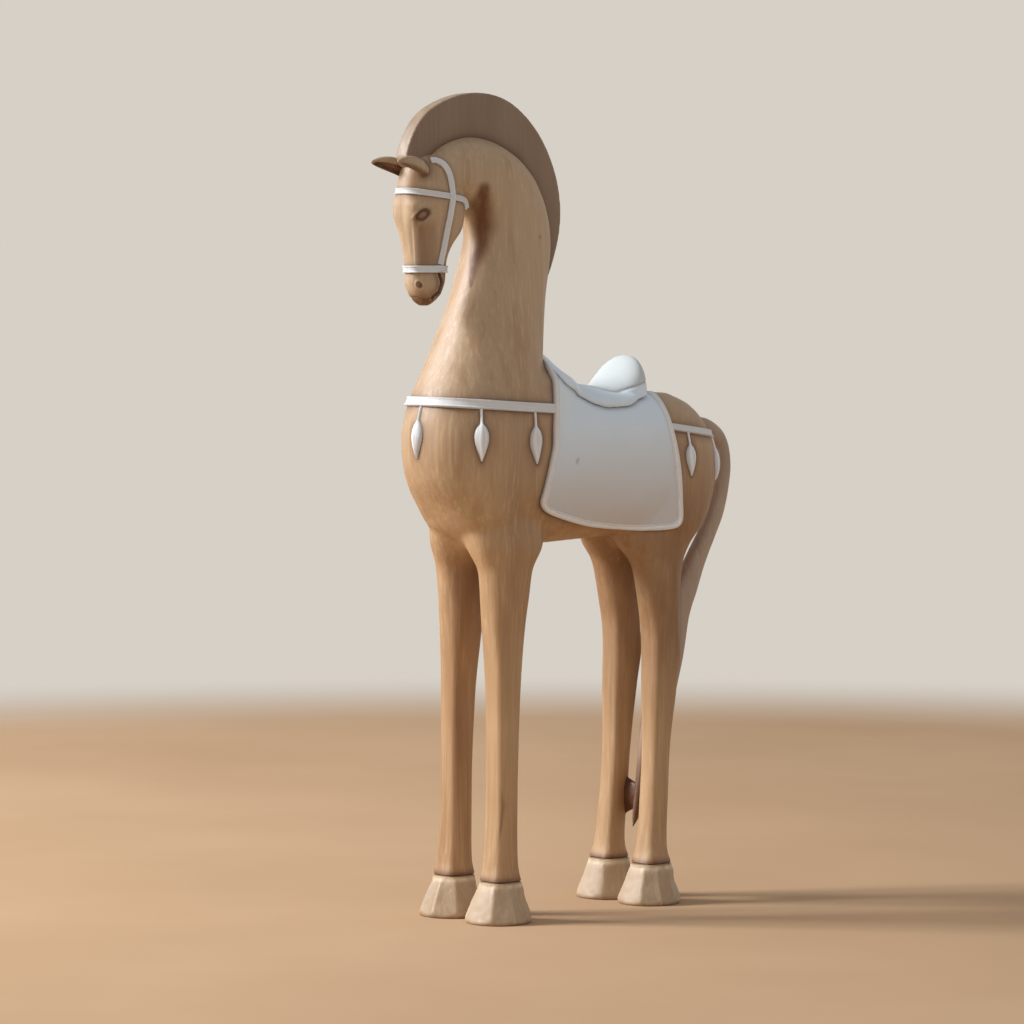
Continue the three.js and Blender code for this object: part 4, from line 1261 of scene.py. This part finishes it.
TAIL = [
    station(70, -166.5, 0.5, 0.6),
    station(72.6, -160, 1.8, 2.6),
    station(76.4, -150, 3.1, 5.2),
    station(82, -128, 4.6, 7.4),
    station(87.5, -105, 5.6, 10),
    station(93, -86, 6, 11.2),
    station(100.5, -61, 6, 11.2),
    station(105.8, -37, 6, 10.6),
    station(113.5, -21, 5.8, 9.6),
    station(123, -2, 5.6, 8),
    station(139.5, 26, 5, 6),
    station(146, 46, 4.6, 5),
    station(147, 60, 4.6, 5),
    station(143, 73, 4.8, 5.2, 35),
    station(132, 81, 5.2, 5.4, 70),
    station(118, 83, 5.6, 5.6, 84),
    station(110, 82, 5.6, 5.6, 88),
]
WEB_AT = (75.6, -147.4)
WEB_MIDDLE = (2.2, 7.8)
WEB_END = (3.4, 12.5)
WEB_SINKS = 4.5


def tail_shape():
    points, faces = merged([loft(TAIL, 40, 6)], 0.8, 4)
    carved = rough(points * [1, 1, 0.25], 5.0, 9.0) * 0.2
    return points + normals_of((points, faces)) * carved[:, None], faces


def web_shape():
    reach = HIND_LEG_ACROSS - CANNON_RADIUS + WEB_SINKS
    turn = np.arange(40) / 40 * 2 * math.pi
    rings = []
    for x in np.linspace(-reach, reach, 31):
        flare = (abs(x) / reach) ** 2
        deep = WEB_MIDDLE[0] + (WEB_END[0] - WEB_MIDDLE[0]) * flare
        tall = WEB_MIDDLE[1] + (WEB_END[1] - WEB_MIDDLE[1]) * flare
        y = WEB_AT[0] + deep * np.cos(turn)
        rings.append(np.stack([np.full(40, x), y, WEB_AT[1] + tall * np.sin(turn)], axis=1))
    points, faces = tube(rings)
    return points + normals_of((points, faces)) * (rough(points, 3.0, 2.0) * 0.3)[:, None], faces


# Bridle straps lie on the head
BRIDLE_WIDTH = 3.5
CHEEK = [[-95.8, 183.4], [-94.2, 192], [-92.9, 202.6], [-91.3, 216.3], [-90.6, 223.5], [-91.6, 232], [-94.6, 240.4],
         [-98.6, 245.4], [-103, 246.4]]
THROAT_STRAP = [[-92.6, 223.6], [-87.1, 222.9], [-82, 221.8], [-79.4, 220], [-78.2, 216.6]]
BROW = {"height": 226.8, "at": -117.0, "slope": 0.12, "width": BRIDLE_WIDTH}
NOSE = {"height": 180.6, "at": -100.0, "slope": 0.0, "width": 4.2}


# A strap on the side of the head along places given as [along, height]; over the crown it looks down from above
def side_strap(tree, rows, side, proud):
    crown = 236.0
    path, outs = [], []
    for y, z in smooth_line(rows, 60):
        way = Vector((side, 0, 0))
        if z > crown:
            lean = math.radians(min((z - crown) * 4.2, 62))
            way = Vector((side * math.cos(lean), 0, math.sin(lean)))
        hit, out, _, _ = tree.ray_cast(Vector((0, y, min(z, crown))) + way * 60, -way)
        path.append(hit[:])
        outs.append(out[:])
    return strap_shape(path, steadied(outs, 8), lipped_profile(BRIDLE_WIDTH, proud, 0.5))


def head_band(tree, strap, turns, width, proud):
    path, outs = round_body(tree, strap, -97.0, turns)
    return strap_shape(path, outs, lipped_profile(width, proud, 0.45))


# Building
wood_body = wood("carved_wood", rgb(212, 184, 146), rgb(190, 155, 115), rgb(160, 121, 82), rgb(178, 155, 128))
wood_tail = wood("tail_wood", rgb(198, 180, 162), rgb(182, 160, 142), rgb(156, 132, 112))
wood_mane = wood("crest_wood", rgb(158, 136, 114), rgb(142, 118, 96), rgb(126, 102, 82))
wood_hoof = wood("hoof_wood", rgb(206, 184, 156), rgb(190, 166, 137), rgb(164, 138, 108))
wood_peg = wood("peg_wood", rgb(220, 190, 150), rgb(205, 175, 132), rgb(180, 150, 108))
white = painted("white_paint", rgb(240, 244, 248), rgb(230, 233, 236), rgb(212, 196, 182))
# the seat's white is a dimmer copy of the white paint: painted shade where the lamp falls brightest
seat_white = painted("seat_paint", rgb(198, 204, 205), rgb(188, 193, 194), rgb(190, 172, 156))
# the border's white is a brighter copy of the white paint: painted light on a side in shade
border_white = painted("border_paint", rgb(255, 255, 255), rgb(246, 246, 246), rgb(226, 206, 188))
grey = painted("grey_paint", rgb(224, 236, 246), rgb(214, 225, 235), rgb(196, 184, 176), rgb(206, 204, 204))

body = body_skin()
body_tree = tree_of(body)
head = head_skin()
head_tree = tree_of(head)
chart = make_chart(tree_of(back_skin()), body_tree)

cloth_sheet, border_path, border_outs = cloth_parts(chart)
even_path, even_outs = even_loop(border_path, border_outs, 0.9)
border = strap_shape(even_path, even_outs, BORDER_PROFILE, closed=True)
flap, seat = saddle_parts(chart)

front_edge = smooth_line(CLOTH_FRONT, 40)
rear_edge = smooth_line(CLOTH_REAR, 40)


def past_front_edge(hit):
    return hit.y > np.interp(-hit.z, -front_edge[:, 1], front_edge[:, 0]) + 0.4


def past_rear_edge(hit):
    return hit.y < np.interp(hit.z, rear_edge[:, 1], rear_edge[:, 0]) - 0.4


breast_path, breast_outs = round_body(body_tree, BREAST, -61.0, np.arange(-150, 150.1, 1.5), past_front_edge)
breast_strap = strap_shape(breast_path, breast_outs, lipped_profile(BREAST["width"], 2.2, 0.55))
trims = {"breast_strap": breast_strap}
for side, label in ((1, "left"), (-1, "right")):
    turns = side * np.arange(60, 172.1, 1.5)
    path, outs = round_body(body_tree, CRUPPER, 83.0, turns, past_rear_edge)
    trims[f"crupper_strap_{label}"] = strap_shape(path, outs, lipped_profile(CRUPPER["width"], 2.0, 0.5))
    chest_way = (side * math.sin(math.radians(55.5)), -math.cos(math.radians(55.5)), 0)
    trims[f"chest_tassel_{label}"] = tassel_shape(body_tree, BREAST, (0, -61, 0), chest_way, 1.0)
    trims[f"shoulder_tassel_{label}"] = tassel_shape(body_tree, BREAST, (0, -42, 0), (side, 0, 0), 1.0)
    trims[f"rump_tassel_{label}"] = tassel_shape(body_tree, CRUPPER, (0, 83, 0), (side, 0, 0), 0.86)
    tail_way = (side * math.sin(math.radians(42)), math.cos(math.radians(42)), 0)
    trims[f"tail_tassel_{label}"] = tassel_shape(body_tree, CRUPPER, (0, 83, 0), tail_way, 0.86)
trims["chest_tassel_middle"] = tassel_shape(body_tree, BREAST, (0, -61, 0), (0, -1, 0), 1.0)

bridle = {"nose_strap": head_band(head_tree, NOSE, np.arange(0, 360.1, 4), NOSE["width"], 1.5)}
bridle["brow_strap"] = head_band(head_tree, BROW, np.arange(-108, 108.1, 3), BRIDLE_WIDTH, 1.1)
for side, label in ((1, "left"), (-1, "right")):
    bridle[f"cheek_strap_{label}"] = side_strap(head_tree, CHEEK, side, 1.5)
    bridle[f"throat_strap_{label}"] = side_strap(head_tree, THROAT_STRAP, side, 1.1)

trim_tree = tree_of(joined([*trims.values(), border, cloth_sheet]))
bridle_tree = tree_of(joined(list(bridle.values())))

mane = mane_shape()
mane_tree = tree_of(mane)
for name, (points, faces, normals) in body_pieces(body).items():
    marks = body_marks(points, trim_tree, mane_tree)
    piece = add_piece(name + "_skin", (points, faces), wood_body, name, marks)
    piece.data.normals_split_custom_set_from_vertices(normals.tolist())

head_cut = trimmed(head, [((0, HEAD_CUT, 0), (0, 1, 0))])
head_hollow = hollow_of(head_cut)


def head_marks(points, hollow):
    at = face_places(points)
    z = at["z"]
    # painted shade where straps and ears meet the head and in the grooves of eye, nostril, mouth and lips; the eye's
    # middle is darker
    crease = near_marks(points, bridle_tree, 0.8) * 0.55
    for mark in (0.6 * hump(at["eye"] - 0.95, 0.4), 0.3 * hump(at["eye"], 0.6), 0.35 * hump(at["nostril"] - 0.7, 0.5),
                 0.8 * hump(at["mouth"], 1.7), 0.5 * hump(at["eye_front"], 0.9), 0.35 * hump(at["lips"], 0.7),
                 0.6 * near_marks(points, ear_tree, 0.9)):
        crease = np.maximum(crease, mark)
    # painted shade round the straps, ears, mouth, nostril and eye and on the cheek plane beside the ridge; darker
    # towards the chin
    stain_and_shade = np.maximum(near_marks(points, bridle_tree, 2.2) * 0.35, smooth_step(170, 160.5, z))
    stain_and_shade = np.maximum(stain_and_shade, 0.7 * near_marks(points, ear_tree, 2.6))
    cheek = smooth_step(0.6, 3.0, at["ridge"]) * (1 - smooth_step(9, 15, at["ridge"]))
    for mark in (hump(at["mouth"], 4.4), 0.9 * hump(at["nostril"] - 0.6, 0.9), hump(at["eye"] - 0.8, 0.65),
                 0.55 * hump(at["eye"], 0.7),
                 0.5 * cheek * smooth_step(176, 184, z) * (1 - smooth_step(204, 214, z))):
        stain_and_shade = np.maximum(stain_and_shade, mark)
    # painted highlight on the head's edges and along the ridge
    highlight = np.clip(-hollow * 9 - 0.25, 0, 0.5)
    highlight = np.maximum(highlight, 0.5 * at["ridge_on"] * hump(at["ridge"], 0.9)) * (1 - hump(at["eye"], 1.4))
    return np.stack([crease, stain_and_shade, highlight], axis=1)


ears = {label: ear_shape(side) for side, label in ((1, "left"), (-1, "right"))}
ear_tree = tree_of(joined([ear for ear, _ in ears.values()]))
add_piece("head_skin", head_cut, wood_body, "head", head_marks(head_cut[0], head_hollow))
for label, (ear, ear_marks) in ears.items():
    add_piece(f"ear_{label}_skin", ear, wood_body, f"ear_{label}", ear_marks)

add_piece("mane_board_skin", mane, wood_mane, "mane_board", mane_marks(mane[0], body_tree))
tail = tail_shape()
# painted shade where the tail nears the body; darker towards the lower end, and the tip darker still
tail_darkening = np.maximum(near_marks(tail[0], body_tree, 5.0) * 0.6, smooth_step(-90, -140, tail[0][:, 2]) * 0.9)
tip = smooth_step(-120, -150, tail[0][:, 2]) * 0.35
tail_marks = np.stack([tip, tail_darkening, tip * 0], axis=1)
add_piece("tail_skin", tail, wood_tail, "tail", tail_marks)
web = web_shape()
# the tail web is darkened all over: painted shade between the hind legs
add_piece("tail_web_skin", web, wood_body, "tail_web", np.tile([0.5, 1.0, 0], (len(web[0]), 1)))
for leg in LEGS:
    hoof = hoof_shape(leg)
    add_piece(leg["name"] + "_hoof_skin", hoof, wood_hoof, leg["name"] + "_hoof",
              hoof_marks(hoof[0], leg))


def paint_marks(shape, tree, lipped=False):
    hollow = hollow_of(shape)
    rub = np.clip(-hollow * 5 - 0.2, 0, 0.4)
    # crease: painted shade in hollows, in a lipped strap's recess and where the trim meets the skin; rub: paint rubbed
    # off the edges
    crease = np.clip(hollow * 6 - 0.1, 0, 0.35)
    if lipped:
        crease = np.maximum(crease, 0.32 * recess_of(shape))
    low = near_marks(shape[0], tree, 0.5) * 0.3
    return np.stack([np.clip(crease + low, 0, 1), rub, np.zeros(len(rub))], axis=1)


CLOTH_SPECK_AT = (39.0, -12.0, 65.1)
under_flap = tree_of(flap)
# painted shadow under the flap's edge, and one speck
cloth_shade_and_speck = near_marks(cloth_sheet[0], under_flap, 1.5) * 0.95
cloth_shade_and_speck = np.maximum(cloth_shade_and_speck, blob(cloth_sheet[0], CLOTH_SPECK_AT, (2.5, 0.8, 1.8)) * 0.8)
cloth_marks = np.stack([cloth_shade_and_speck, cloth_shade_and_speck * 0, cloth_shade_and_speck * 0], axis=1)
add_piece("saddle_cloth_sheet", cloth_sheet, grey, "saddle_cloth", cloth_marks, sharp=50)
add_piece("cloth_border_bead", border, border_white, "cloth_border", paint_marks(border, body_tree))
add_piece("saddle_flap_skin", flap, grey, "saddle_flap", seat_line_shade(flap[0]), sharp=60)
add_piece("saddle_seat_skin", seat, seat_white, "saddle_seat", seat_line_shade(seat[0]), sharp=60)
for name, shape in trims.items():
    trim_marks = paint_marks(shape, body_tree, "strap" in name)
    add_piece(name + "_relief", shape, white, name, trim_marks, sharp=50)
for name, shape in bridle.items():
    add_piece(name + "_relief", shape, white, name, paint_marks(shape, head_tree, True), sharp=50)
for name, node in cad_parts.items():
    if "dowel" in name:
        node.data.materials.clear()
        node.data.materials.append(wood_peg)


# Floor, light and camera
FLOOR_SIZE = 60.0
FLOOR_NEAR = rgb(184, 152, 120)
FLOOR_TONE = rgb(193, 161, 129)
FLOOR_FADE = (1.1, 1.6)
BACKDROP = rgb(214, 208, 199)
CEILING = rgb(178, 179, 182)
CEILING_FROM = (0.05, 0.45)


def studio():
    bpy.context.scene.view_settings.view_transform = "Standard"
    bpy.ops.mesh.primitive_plane_add(size=FLOOR_SIZE)
    floor = bpy.context.object
    floor.name = "studio_floor"
    paint = Paint("floor_paint")
    # the floor turns into the backdrop with distance
    distance = paint.nodes.new("ShaderNodeVectorMath")
    distance.operation = "LENGTH"
    paint.link(paint.place, distance.inputs[0])
    fade = paint.spread(distance.outputs["Value"], *FLOOR_FADE)
    tone = paint.noise(3, (1, 1, 1), 3.0)
    near = paint.mix(paint.spread(tone, 0.2, 0.8), FLOOR_NEAR, FLOOR_TONE)
    paint.link(fade, paint.shader.inputs["Emission Strength"])
    paint.shader.inputs["Emission Color"].default_value = BACKDROP
    paint.shader.inputs["Specular IOR Level"].default_value = 0.0
    floor.data.materials.append(paint.finish(paint.mix(fade, near, rgb(0, 0, 0)), 0.6, 0.7, tone))
    backdrop()


# The world is the backdrop near the horizon and dimmer overhead
def backdrop():
    world = bpy.data.worlds.new("studio")
    world.use_nodes = True
    bpy.context.scene.world = world
    nodes = world.node_tree.nodes
    links = world.node_tree.links
    split = nodes.new("ShaderNodeSeparateXYZ")
    links.new(nodes.new("ShaderNodeTexCoord").outputs["Generated"], split.inputs["Vector"])
    rise = nodes.new("ShaderNodeMapRange")
    rise.interpolation_type = "SMOOTHSTEP"
    rise.inputs["From Min"].default_value = CEILING_FROM[0]
    rise.inputs["From Max"].default_value = CEILING_FROM[1]
    links.new(split.outputs["Z"], rise.inputs["Value"])
    blend = nodes.new("ShaderNodeMix")
    blend.data_type = "RGBA"
    blend.inputs[6].default_value = BACKDROP
    blend.inputs[7].default_value = CEILING
    links.new(rise.outputs["Result"], blend.inputs[0])
    links.new(blend.outputs[2], nodes["Background"].inputs["Color"])


def area_light(name, place, size, power, colour):
    light = bpy.data.lights.new(name, "AREA")
    light.size = size
    light.energy = power
    light.color = colour[:3]
    lamp = bpy.data.objects.new(name, light)
    lamp.location = place
    lamp.rotation_euler = (Vector((0, 0, 0.26)) - Vector(place)).to_track_quat("-Z", "Y").to_euler()
    bpy.context.scene.collection.objects.link(lamp)


CAMERA_AT = (2082.0, -1872.5, 396.0)
CAMERA_PITCH = 3.112
CAMERA_AZIMUTH = 48.5
CAMERA_LENS = 161.5


def camera():
    data = bpy.data.cameras.new("camera")
    data.lens = CAMERA_LENS
    data.sensor_width = 36
    eye = bpy.data.objects.new("camera", data)
    x, y, z = CAMERA_AT
    eye.location = Vector((x, y + SHIFT, z)) * MM
    turn = math.radians(CAMERA_AZIMUTH)
    pitch = math.radians(CAMERA_PITCH)
    look = Vector((-math.sin(turn) * math.cos(pitch), math.cos(turn) * math.cos(pitch), -math.sin(pitch)))
    eye.rotation_euler = look.to_track_quat("-Z", "Y").to_euler()
    bpy.context.scene.collection.objects.link(eye)
    bpy.context.scene.camera = eye


studio()
area_light("key", (-1.35, -1.6, 1.45), 0.7, 80, rgb(252, 253, 255))
camera()
